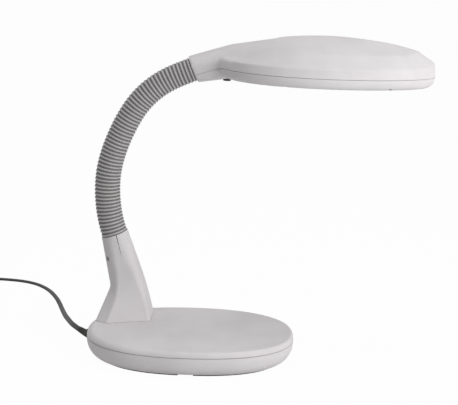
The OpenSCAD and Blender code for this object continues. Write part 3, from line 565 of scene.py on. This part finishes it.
# shut is the inset at which a ring has closed to a line
wall = base["wall"]
seam = base["seam"]
shut = base["width"] / 2
ceiling = base["top"] - wall
coverRings = [evenRing(inset, ceiling) for inset in (shut, base["flatIn"], base["ceilingIn"])]
coverRings += [evenRing(base["cornerIn"], ceiling - base["cornerDrop"]),
               evenRing(wall + base["lap"], seam + base["lapHigh"]), evenRing(wall + base["lap"], seam),
               evenRing(base["edgeIn"], seam), evenRing(0, seam + base["edgeHigh"])]
coverRings += [rimRing(base["crease"] * k / base["rimSteps"]) for k in range(1, base["rimSteps"] + 1)]
coverRings += [baseRing(base["rimLeft"] + grow, base["rimRight"] + grow, base["rimSide"] + grow, base["top"])
               for grow in base["deckIn"]]
baseCover = asPiece(closeUp(growRings(coverRings)), "baseCover", shellPlastic, sharp=30)
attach(baseCover, "base")
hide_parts("base_cover")


def trayInset(z, shift):
    drop = (base["trayWall"] - z) / (base["trayWall"] - base["foot"])
    return shift + base["trayIn"] * (1 - math.sqrt(max(0, 1 - min(1, max(0, drop)) ** 2)))


# Ring of the quarter turn from the tray's floor up to its wall; shift moves it inwards for the inner face
def trayTurn(k, count, shift):
    z = base["trayWall"] - (base["trayWall"] - base["foot"]) * math.cos(math.radians(90 * k / count))
    return evenRing(trayInset(z, shift), z + shift)


trayTop = seam - base["gap"]
tongueTop = seam + base["tongueHigh"]
trayRings = [evenRing(inset, base["foot"]) for inset in (shut, base["flatIn"], base["floorIn"])]
trayRings += [trayTurn(k, base["traySteps"], 0) for k in range(base["traySteps"] + 1)]
trayRings += [evenRing(0, trayTop - base["edgeHigh"]), evenRing(base["edgeIn"], trayTop),
              evenRing(wall - base["tongueOut"], trayTop), evenRing(wall - base["tongueOut"], tongueTop),
              evenRing(wall + base["tongueIn"], tongueTop),
              evenRing(wall + base["tongueIn"], trayTop - base["tongueRoot"])]
trayRings += [trayTurn(k, base["insideSteps"], wall) for k in range(base["insideSteps"] - 1, -1, -1)]
trayRings += [evenRing(shut, base["foot"] + wall)]
trayForm = closeUp(growRings(trayRings))
for x, y in base["screws"]:
    trayForm = cutAway(trayForm, bore(base["screwRecess"], base["screwCut"], (x, y, 0)))
trayForm = cutAway(trayForm, bore(bush["holeRadius"], bush["holeCut"], bush["hole"], (-1, 0, 0)))
baseTray = asPiece(trayForm, "baseTray", shellPlastic, sharp=30)
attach(baseTray, "base")
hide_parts("base_tray")

# Rubber strip under the tray, with a break at the front where its ends meet
outerEdge = evenRing(base["stripIn"], 0)
innerEdge = evenRing(base["stripIn"] + base["stripWidth"], 0)
lift = Vector((0, 0, base["foot"]))
stripRings = []
for k in range(base["points"]):
    i = (k + round(base["points"] * base["stripStart"])) % base["points"]
    near = outerEdge[i].lerp(innerEdge[i], 0.5)
    if near.y < 0 and base["stripGap"][0] < near.x < base["stripGap"][1]:
        continue
    across = innerEdge[i] - outerEdge[i]
    stripRings.append([outerEdge[i] + across * f + lift * h for f, h in base["stripForm"]])
rubberStrip = asPiece(closeUp(growRings(stripRings)), "footStrip", footRubber)
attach(rubberStrip, "base")
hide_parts("foot_strip")
print("base built")

# The neck's sizes stand before the post's, because its foot is where the post's seat is
# ribForm is one rib from groove to groove: share of the pitch and share of the groove's depth
neck = {"foot": (-95.5, 47, 135.5), "lean": 109.3, "linkLength": 17.4, "lowRadius": 15.6, "topRadius": 14.35,
        "ribs": 4, "groove": 1.0, "points": 56, "tuck": 2.4, "tuckDepth": 1.4, "blendReach": 7,
        "ribForm": [(0, 1), (0.12, 0.97), (0.21, 0.72), (0.27, 0.3), (0.34, 0.08), (0.5, 0), (0.66, 0.08),
                    (0.73, 0.3), (0.79, 0.72), (0.88, 0.97)],
        "bends": [6.5, 6, 5.5, 6, 8, 6, 4, 4, 5.5, 9, 9.5, 8.5, 7.5, 0.5]}

# Post: splayed foot, narrow waist, then up to the round seat of the neck; seat gives each corner's arc
post = {"at": (-94, 47), "deck": 33.5, "waistHeight": 70.5, "footRound": 5, "waistRound": 6,
        "topRadius": 16.25, "steps": 8, "rings": 40, "merge": 0.0005,
        "foot": [(-6, -33), (40, -19.5), (41.5, 13), (15.5, 10), (-15.5, -27.5)],
        "waist": [(9.5, -13.5), (31, -14.5), (31, 14.5), (0.8, 14.5), (0.8, -4)],
        "seat": [(225, 270), (270, 360), (0, 90), (90, 180), (180, 225)],
        "ease": [22, 30, 20, 8, 3], "undercut": 0.7, "undercutHigh": 0.8, "block": (120, 120, 240),
        "partAhead": 3, "partLean": 16.5, "partGap": 0.03, "coverLow": 72.5, "wedge": 1.0, "wedgeLow": 106,
        "screw": (-92.3, 47, 105.7), "screwWay": (1, 1, 0), "recess": 3.1, "recessCut": (-60, -12)}


def postRing(corners, radius, z):
    return [Vector((p.x + post["at"][0], p.y + post["at"][1], z))
            for p in roundedOutline(corners, radius, post["steps"])]


lean = math.radians(neck["lean"])
seatAcross = Vector((math.sin(lean), 0, -math.cos(lean)))
seatMid = neck["foot"][2]
deck = post["deck"]
seatRing = []
for begin, end in post["seat"]:
    for k in range(post["steps"] + 1):
        a = math.radians(begin + (end - begin) * k / post["steps"])
        seatRing.append(Vector(neck["foot"])
                        + post["topRadius"] * (seatAcross * math.cos(a) + sideways * math.sin(a)))
footRing = postRing(post["foot"], post["footRound"], deck)
waistRing = postRing(post["waist"], post["waistRound"], post["waistHeight"])


def between(low, high, f):
    return [a.lerp(b, f) for a, b in zip(low, high)]


# The kink is crisp on the left edge and eased out over the other corners; ease is its reach in mm
def postRingAt(z):
    ring = []
    for i, (low, mid, high) in enumerate(zip(footRing, waistRing, seatRing)):
        reach = post["ease"][i // (post["steps"] + 1)]
        below = (mid - low) / (mid.z - low.z)
        above = (high - mid) / (high.z - mid.z)
        rise = (high.z - deck) / (seatMid - deck)
        height = deck + (z - deck) * rise - mid.z
        if abs(height) < reach:
            turned = below * (-(height - reach) ** 2) + above * (height + reach) ** 2
            ring.append(mid + turned / (4 * reach))
        else:
            ring.append(mid + (below if height < 0 else above) * height)
    return ring


undercutHigh = post["undercutHigh"]
undercutRing = postRing(post["foot"], post["footRound"] - post["undercut"], deck)
postRings = [undercutRing, [p + Vector((0, 0, undercutHigh)) for p in undercutRing]]
postRings += [postRingAt(deck + undercutHigh + (seatMid - deck - undercutHigh) * k / post["rings"])
              for k in range(post["rings"] + 1)]


def postForm():
    return closeUp(growRings(postRings), post["merge"])


# Everything behind a leaning plane and above a level; shift moves the plane at the height of the neck's foot
def rearPart(shift, leanBack, low):
    block = bmesh.new()
    bmesh.ops.create_cube(block, size=1)
    bmesh.ops.translate(block, vec=(-0.5, 0, 0), verts=block.verts)
    bmesh.ops.scale(block, vec=post["block"], verts=block.verts)
    bmesh.ops.rotate(block, matrix=Matrix.Rotation(-math.radians(leanBack), 3, "Y"), verts=block.verts)
    bmesh.ops.translate(block, vec=Vector(neck["foot"]) + Vector((shift, 0, 0)), verts=block.verts)
    cut = block.verts[:] + block.edges[:] + block.faces[:]
    bmesh.ops.bisect_plane(block, geom=cut, plane_co=(0, 0, low), plane_no=(0, 0, 1), clear_inner=True)
    return closeUp(block)


# The parting gap is widest at the neck and closes on the way down
wedgeRun = seatMid - post["wedgeLow"]
wedgeLean = math.degrees(math.atan(math.tan(math.radians(post["partLean"])) - post["wedge"] / wedgeRun))
frontForm = cutAway(postForm(), rearPart(post["partAhead"] + post["partGap"], post["partLean"],
                                         post["coverLow"] - post["partGap"]))
frontForm = cutAway(frontForm, rearPart(post["partAhead"] + post["wedge"], wedgeLean, post["wedgeLow"]))
postFront = asPiece(frontForm, "postFront", shellPlastic, sharp=42)
rearBlock = rearPart(post["partAhead"], post["partLean"], post["coverLow"])
rearForm = combined(postForm(), rearBlock, "INTERSECT")
rearForm = cutAway(rearForm, bore(post["recess"], post["recessCut"], post["screw"], post["screwWay"]))
postRear = asPiece(rearForm, "postRearCover", shellPlastic, sharp=42)
for piece, node in ((postFront, "post_front"), (postRear, "post_rear_cover")):
    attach(piece, "base")
    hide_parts(node)
print("post built")


# Place and direction at a distance along the neck, link by link
def neckPlace(s):
    place = Vector(neck["foot"])
    angle = neck["lean"]
    for bend in neck["bends"]:
        run = min(s, neck["linkLength"])
        turn = bend * run / neck["linkLength"]
        half = math.radians(turn / 2)
        chord = run * (math.sin(half) / half if half else 1)
        place = place + chord * Vector((math.cos(math.radians(angle) - half), 0,
                                        math.sin(math.radians(angle) - half)))
        angle -= turn
        s -= run
        if s <= tiny:
            break
    return place, math.radians(angle)


neckLength = neck["linkLength"] * len(neck["bends"])
ribPitch = neck["linkLength"] / neck["ribs"]


# Ribbed sleeve from one distance along the neck to another; a tuck is a bare end that reaches further
def sleeveStretch(begin, end, tuck=0):
    rings = []
    depths = []
    count = round((end - begin) / ribPitch)
    stops = [(begin + (n + f) * ribPitch, d) for n in range(count) for f, d in neck["ribForm"]]
    stops.append((end, 1))
    if tuck:
        stops.append((end + tuck, neck["tuckDepth"]))
    for s, depth in stops:
        place, angle = neckPlace(s)
        across = Vector((math.sin(angle), 0, -math.cos(angle)))
        full = neck["lowRadius"] + (neck["topRadius"] - neck["lowRadius"]) * s / neckLength
        radius = full - neck["groove"] * depth
        rings.append([place + radius * (across * math.cos(a) + sideways * math.sin(a))
                      for a in roundTurns(neck["points"])])
        depths.append(depth)
    return closeUp(growRings(rings, ringMarks=depths))


def linkBody(k):
    return "base" if k == 1 else "head" if k == len(neck["bends"]) else "neck_%d" % k


# Each stretch bends over one joint
# At the last joint the sleeve is parted in a groove, and a tuck fills the parting
halfLink = neck["linkLength"] / 2
lastJoint = len(neck["bends"]) - 1
for k in range(len(neck["bends"]) + 1):
    joint = k * neck["linkLength"]
    begin = max(0, joint - halfLink)
    end = min(neckLength, joint + halfLink)
    if k == lastJoint:
        end = joint
    elif k > lastJoint:
        begin = joint - neck["linkLength"]
    grown = sleeveStretch(begin, end, neck["tuck"] if k == lastJoint else 0)
    sleeve = asPiece(grown, "neckSleeve%d" % (k + 1), ribbedVinyl, sharp=60)
    if k == 0:
        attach(sleeve, "base")
        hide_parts("neck_link_1")
    elif k == lastJoint:
        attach(sleeve, linkBody(k))
    elif k > lastJoint:
        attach(sleeve, "head")
        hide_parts("neck_link_%d" % k)
    else:
        before, after = joint - neck["blendReach"], joint + neck["blendReach"]
        tuple(neckPlace(before)[0] * metre)
        tuple(neckPlace(after)[0] * metre)
        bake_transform(sleeve)
        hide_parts("neck_link_%d" % (k + 1))
print("neck sleeved")

# Head: egg-shaped shade and the socket that takes the neck, melted into one skin and parted at the seam
# sockets gives place, under side, upper side and half width; the boxes give reach along, aside and in height
head = {"at": (29.533, 47, 341.363), "dip": 1.15, "length": 254, "width": 154, "taper": 0.18, "mid": 119.5,
        "points": 144, "drop": 12.5, "dropIn": 10, "dropSteps": 12, "floorIn": 40,
        "wall": 11, "wallIn": 1.5, "wallNose": 5, "wallSteps": 4,
        "band": 14.5, "bandIn": 22, "bandLow": 1.05, "bandNose": 3.3, "bandSteps": 6, "noseFrom": 0.75,
        "crown": 15, "crownRun": 50, "crownNose": 0.09, "crownEnd": 174.5, "crownX": 125, "crownLow": 0.57,
        "crownRound": 1.4, "crownSteps": 14, "shell": 2.4, "seamGap": 0.4, "seamSlope": 0.34,
        "socketRadius": 16.2, "sockets": [(8, -14.5, 25.5, 21), (60, 0, 34.8, 38)], "socketPoints": 96,
        "socketSteps": 10, "voxel": 1.5, "skinPasses": 2,
        "cornerBox": ((-16, 14), (11, 44), (-13, 30)), "cornerPasses": 16,
        "ridgeBox": ((-8, 66), (-1, 40), (13, 99)), "ridgePasses": 12,
        "openSide": 18, "openRear": 30, "openFront": 18, "openCut": (-20, -4),
        "screws": [(70, 66), (70, -66), (188, 51), (188, -51)], "screwHole": 3.1, "screwCut": (-20, -5)}
headPlace = Matrix.Translation(head["at"]) @ Matrix.Rotation(math.radians(head["dip"]), 4, "Y")

# Push button in a pad under the socket; form is the height and share of the radius round its dished face
button = {"at": (4.5, 0), "padLow": 14, "pad": 7.65, "padEdge": 0.6, "padHigh": 6, "hole": 5.0,
          "holeCut": (-30, 0), "radius": 4.75, "out": 3.4, "dish": (0.5, 0.01),
          "form": [(0.42, 0.4), (0.2, 0.66), (0.02, 0.78), (0, 0.84), (0.12, 0.92), (0.5, 0.98), (1.0, 1),
                   (9.8, 1)]}


# From the shade's own frame to the lamp's
def onHead(shape):
    bmesh.ops.transform(shape, matrix=headPlace, verts=shape.verts)
    return shape


def eggRing(halfLong, halfWide, mid, height):
    ring = []
    for turn in roundTurns(head["points"]):
        c = math.cos(turn)
        x = mid + halfLong * c
        ring.append(Vector((x, halfWide * math.sin(turn) * (1 - head["taper"] * c), height(x, c))))
    return ring


def shadeRing(inset, height):
    return eggRing(head["length"] / 2 - inset, head["width"] / 2 - inset, head["mid"], height)


# The crown falls towards the socket and the nose, and wall and band lift round the nose; c is 1 at its tip
def fallBack(x):
    return (max(0, head["crownX"] - x) / head["crownX"]) ** 2


def fallAhead(x):
    return (max(0, min(x, head["crownEnd"]) - head["crownX"]) / (head["crownEnd"] - head["crownX"])) ** 2


def noseLift(c):
    return (max(0, c - head["noseFrom"]) / (1 - head["noseFrom"])) ** 2


def wallTop(c):
    return head["wall"] + head["wallNose"] * noseLift(c)


def bandTop(x, c):
    return head["wall"] + head["band"] * (1 - head["bandLow"] * fallBack(x)) + head["bandNose"] * noseLift(c)


def crownTop(x):
    full = head["band"] + head["crown"]
    return head["wall"] + full * (1 - head["crownLow"] * fallBack(x) - head["crownNose"] * fallAhead(x))


# Outline of the shade's opening, grown outwards
def openRing(grow, z):
    halfLong = (head["length"] - head["openRear"] - head["openFront"]) / 2 + grow
    halfWide = head["width"] / 2 - head["openSide"] + grow
    return eggRing(halfLong, halfWide, head["mid"] + (head["openRear"] - head["openFront"]) / 2,
                   lambda x, c: z)


closed = head["width"] / 2
shadeRings = [shadeRing(inset, lambda x, c: -head["drop"]) for inset in (closed, head["floorIn"])]
for k in range(head["dropSteps"] + 1):
    t = math.radians(90 * k / head["dropSteps"])
    shadeRings.append(shadeRing(head["dropIn"] * (1 - math.sin(t)),
                                lambda x, c: -head["drop"] * math.cos(t)))
for f in shares(head["wallSteps"]):
    shadeRings.append(shadeRing(head["wallIn"] * f, lambda x, c: wallTop(c) * f))
for f in shares(head["bandSteps"]):
    shadeRings.append(shadeRing(head["wallIn"] + (head["bandIn"] - head["wallIn"]) * f,
                                lambda x, c: wallTop(c) + (bandTop(x, c) - wallTop(c)) * f))
for u in shares(head["crownSteps"]):
    swell = 1 - (1 - u) ** head["crownRound"]
    shadeRings.append(shadeRing(head["bandIn"] + head["crownRun"] * u,
                                lambda x, c: bandTop(x, c) + (crownTop(x) - bandTop(x, c)) * swell))
shadeRings.append(shadeRing(closed, lambda x, c: crownTop(x)))
headForm = closeUp(growRings(shadeRings))

# The socket, from the neck's end to well inside the shade
neckEnd, neckEndAngle = neckPlace(neckLength)
neckEndLocal = headPlace.inverted() @ neckEnd
tipAngle = neckEndAngle + math.radians(head["dip"])
socketStops = [(neckEndLocal, Vector((-math.sin(tipAngle), 0, math.cos(tipAngle))), head["socketRadius"],
                head["socketRadius"])]
for x, under, over, halfWide in head["sockets"]:
    socketStops.append((Vector((x, 0, (under + over) / 2)), upward, (over - under) / 2, halfWide))


def socketRing(stop):
    centre, up, tall, wide = stop
    return [centre + up * (tall * math.cos(a)) + sideways * (wide * math.sin(a))
            for a in roundTurns(head["socketPoints"])]


socketRings = []
for low, high in zip(socketStops, socketStops[1:]):
    for k in range(head["socketSteps"]):
        socketRings.append(between(socketRing(low), socketRing(high), k / head["socketSteps"]))
socketRings.append(socketRing(socketStops[-1]))
addTo(headForm, closeUp(growRings(socketRings)))
padForm = [(0, button["pad"] - button["padEdge"]), (button["padEdge"], button["pad"]),
           (button["padHigh"], button["pad"])]
addTo(headForm, rod(padForm, (*button["at"], -button["padLow"]), upward))
headForm = modified(headForm, "REMESH", mode="VOXEL", voxel_size=head["voxel"], adaptivity=0)


def smoothed(shape, verts, passes):
    for k in range(passes):
        bmesh.ops.smooth_vert(shape, verts=verts, factor=0.5, use_axis_x=True, use_axis_y=True,
                              use_axis_z=True)


def vertsIn(shape, box):
    along, aside, height = box
    return [v for v in shape.verts if along[0] < v.co.x < along[1] and aside[0] < abs(v.co.y) < aside[1]
            and height[0] < v.co.z < height[1]]


smoothed(headForm, headForm.verts, head["skinPasses"])
smoothed(headForm, vertsIn(headForm, head["cornerBox"]), head["cornerPasses"])
smoothed(headForm, vertsIn(headForm, head["ridgeBox"]), head["ridgePasses"])


# The seam runs level round the shade and slopes down along the socket
def levelSeam(shape, way):
    for vert in shape.verts:
        vert.co.z -= way * head["seamSlope"] * min(0, vert.co.x)


def headHalf(above):
    part = headForm.copy()
    levelSeam(part, 1)
    cut = part.verts[:] + part.edges[:] + part.faces[:]
    level = head["seamGap"] / 2 if above else -head["seamGap"] / 2
    bmesh.ops.bisect_plane(part, geom=cut, plane_co=(0, 0, level), plane_no=(0, 0, 1), clear_inner=above,
                           clear_outer=not above)
    levelSeam(part, -1)
    return modified(part, "SOLIDIFY", thickness=head["shell"], offset=-1)


coverForm = headHalf(True)
frameForm = headHalf(False)
headForm.free()
frameForm = cutAway(frameForm, closeUp(growRings([openRing(0, z) for z in head["openCut"]])))
for x, y in head["screws"]:
    frameForm = cutAway(frameForm, bore(head["screwHole"], head["screwCut"], (x, y, 0)))
frameForm = cutAway(frameForm, bore(button["hole"], button["holeCut"], (*button["at"], 0)))
for form, name, node in ((coverForm, "headCover", "head_cover"), (frameForm, "headFrame", "head_frame")):
    piece = asPiece(onHead(form), name, shellPlastic, sharp=40)
    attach(piece, "head")
    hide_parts(node)
print("head shells parted")

# Reflector pan with a flange behind the shade's lip
pan = {"sheet": 1, "height": 16, "lip": -10.1, "flange": 4.5, "sideIn": 12, "round": 2, "steps": 12,
       "flatIn": 40, "midIn": 59}
panUnder = pan["height"] - pan["sheet"]
lipTop = pan["lip"] + pan["sheet"]
panRings = [openRing(-inset, panUnder)
            for inset in (pan["midIn"], pan["flatIn"], pan["sideIn"] + pan["round"])]
for f in shares(pan["steps"]):
    panRings.append(openRing(-pan["sideIn"] * (1 - f) - pan["round"] * (1 - f) ** 4,
                             pan["lip"] + (panUnder - pan["lip"]) * (1 - f * f)))
panRings += [openRing(pan["flange"], pan["lip"]), openRing(pan["flange"], lipTop),
             openRing(pan["sheet"], lipTop)]
for f in reversed(shares(pan["steps"])[:-1]):
    panRings.append(openRing(pan["sheet"] - pan["sideIn"] * (1 - f),
                             pan["lip"] + (pan["height"] - pan["lip"]) * (1 - f * f)))
panRings += [openRing(-pan["flatIn"], pan["height"]), openRing(-pan["midIn"], pan["height"])]
panForm = onHead(closeUp(growRings(panRings)))
reflectorPan = asPiece(panForm, "reflectorPan", reflectorEnamel, sharp=40)

# Holder and cap of the lamp; moulding is the edge's radius, the panel's margin and its depth
lamp = {"holderX": 39.5, "holder": (14, 30, 21), "holderMoulding": (1.6, 2.2, 0.7), "capX": 53.5,
        "cap": (22, 28, 18), "capMoulding": (2.4, 2.0, 0.5), "tubeZ": 3, "edgeSteps": 4, "panelLeast": 20}


# A moulded box with rounded edges and a sunk panel on its near and far sides
def mouldedBox(low, size, edge, margin, sunk):
    box = bmesh.new()
    bmesh.ops.create_cube(box, size=1)
    bmesh.ops.scale(box, vec=size, verts=box.verts)
    bmesh.ops.translate(box, vec=Vector(low) + Vector(size) / 2, verts=box.verts)
    bmesh.ops.bevel(box, geom=box.edges[:], offset=edge, segments=lamp["edgeSteps"], profile=0.5,
                    affect="EDGES", material=-1)
    sides = [f for f in box.faces if abs(f.normal.y) > 0.99 and f.calc_area() > lamp["panelLeast"]]
    bmesh.ops.inset_individual(box, faces=sides, thickness=margin, depth=-sunk)
    return onHead(box)


holderLow = (lamp["holderX"], -lamp["holder"][1] / 2, panUnder - lamp["holder"][2])
holderForm = mouldedBox(holderLow, lamp["holder"], *lamp["holderMoulding"])
lampHolder = asPiece(holderForm, "lampHolder", whitePolyamide)
capLow = (lamp["capX"], -lamp["cap"][1] / 2, lamp["tubeZ"] - lamp["cap"][2] / 2)
capForm = mouldedBox(capLow, lamp["cap"], *lamp["capMoulding"])
lampCap = asPiece(capForm, "lampCap", whitePolyamide)

buttonRadii = [button["dish"]] + [(h, button["radius"] * share) for h, share in button["form"]]
buttonForm = onHead(rod(buttonRadii, (*button["at"], -button["padLow"] - button["out"]), upward))
pushButton = asPiece(buttonForm, "pushButton", blackMoulding, sharp=50)
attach(pushButton, "button")
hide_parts("switch_button")
for piece, node in ((reflectorPan, "reflector"), (lampHolder, "lamp_holder"), (lampCap, "lamp_cap")):
    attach(piece, "head")
    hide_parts(node)
print("lamp and switch fitted")

# Solids whose shape is right keep it and get their finish
solidFinish = {
    zincSteel: ["base_screws", "weight_screws", "choke_screws", "terminal_screws", "post_screws",
                "neck_nut", "neck_end_nut", "head_screws", "tube_clip"],
    greyPhosphate: ["post_rear_screw"],
    nickelBrass: ["plug_blades"],
    rawIron: ["ballast_weight", "choke_core"],
    copperWinding: ["choke_coil"],
    whitePolyamide: ["terminal_block"],
    phosphorGlass: ["lamp_tube"],
    leadVinyl: ["base_lead", "switch_lead"],
    blackMoulding: ["switch_body"],
}
for finish, names in solidFinish.items():
    for name in names:
        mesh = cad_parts[name].data
        mesh.materials.clear()
        mesh.materials.append(finish)
print("solids finished")

# Studio in metres and watts: a pale table that shows white and keeps a faint shadow, and two soft lamps
studio = {"floorSize": 14, "floorTone": (0.8, 0.8, 0.8, 1), "floorGlow": 0.97, "white": (1, 1, 1, 1),
          "fill": 0.36, "aim": (0.03, 0.03, 0.2), "keyAt": (0.9, -0.7, 0.6), "keyPower": 9.8, "keySize": 0.8,
          "topAt": (-0.3, 0.1, 1.9), "topPower": 10.0, "topSize": 1.0}
floorMesh = bmesh.new()
bmesh.ops.create_grid(floorMesh, x_segments=1, y_segments=1, size=studio["floorSize"])
floorData = bpy.data.meshes.new("studioFloor")
floorMesh.to_mesh(floorData)
floorMesh.free()
studioFloor = bpy.data.objects.new("studioFloor", floorData)
scene.collection.objects.link(studioFloor)


# 1 for what the camera sees directly, mirrored or through glass, and 0 for light that falls on the lamp
def seenRays(tree):
    path = addNode(tree, "ShaderNodeLightPath")
    seen = addNode(tree, "ShaderNodeMath",
                   {0: path.outputs["Is Camera Ray"], 1: path.outputs["Is Glossy Ray"]}, operation="MAXIMUM")
    return addNode(tree, "ShaderNodeMath", {0: seen.outputs[0], 1: path.outputs["Is Transmission Ray"]},
                   operation="MAXIMUM")


floorPaint, floorTree, floorShader = newFinish("paleStudioFloor")
floorTree.nodes.remove(floorShader)
glow = addNode(floorTree, "ShaderNodeEmission", {"Color": studio["white"], "Strength": 1.0})
matt = addNode(floorTree, "ShaderNodeBsdfDiffuse", {"Color": studio["floorTone"]})
glowShare = addNode(floorTree, "ShaderNodeMath",
                    {0: seenRays(floorTree).outputs[0], 1: studio["floorGlow"]}, operation="MULTIPLY")
floorMix = addNode(floorTree, "ShaderNodeMixShader",
                   {0: glowShare.outputs[0], 1: matt.outputs[0], 2: glow.outputs[0]})
floorTree.links.new(floorMix.outputs[0], floorTree.nodes["Material Output"].inputs["Surface"])
floorData.materials.append(floorPaint)

world = bpy.data.worlds.new("softStudio")
scene.world = world
world.use_nodes = True
sky = world.node_tree.nodes["Background"]
skyLevel = addNode(world.node_tree, "ShaderNodeMapRange",
                   {"Value": seenRays(world.node_tree).outputs[0], "To Min": studio["fill"], "To Max": 1.0})
sky.inputs["Color"].default_value = studio["white"]
world.node_tree.links.new(skyLevel.outputs[0], sky.inputs["Strength"])


def softBox(name, at, power, size):
    data = bpy.data.lights.new(name, "AREA")
    data.energy = power
    data.size = size
    box = bpy.data.objects.new(name, data)
    box.location = at
    box.rotation_euler = (Vector(studio["aim"]) - Vector(at)).to_track_quat("-Z", "Y").to_euler()
    scene.collection.objects.link(box)


softBox("keySoftBox", studio["keyAt"], studio["keyPower"], studio["keySize"])
softBox("topSoftBox", studio["topAt"], studio["topPower"], studio["topSize"])
print("studio lit")
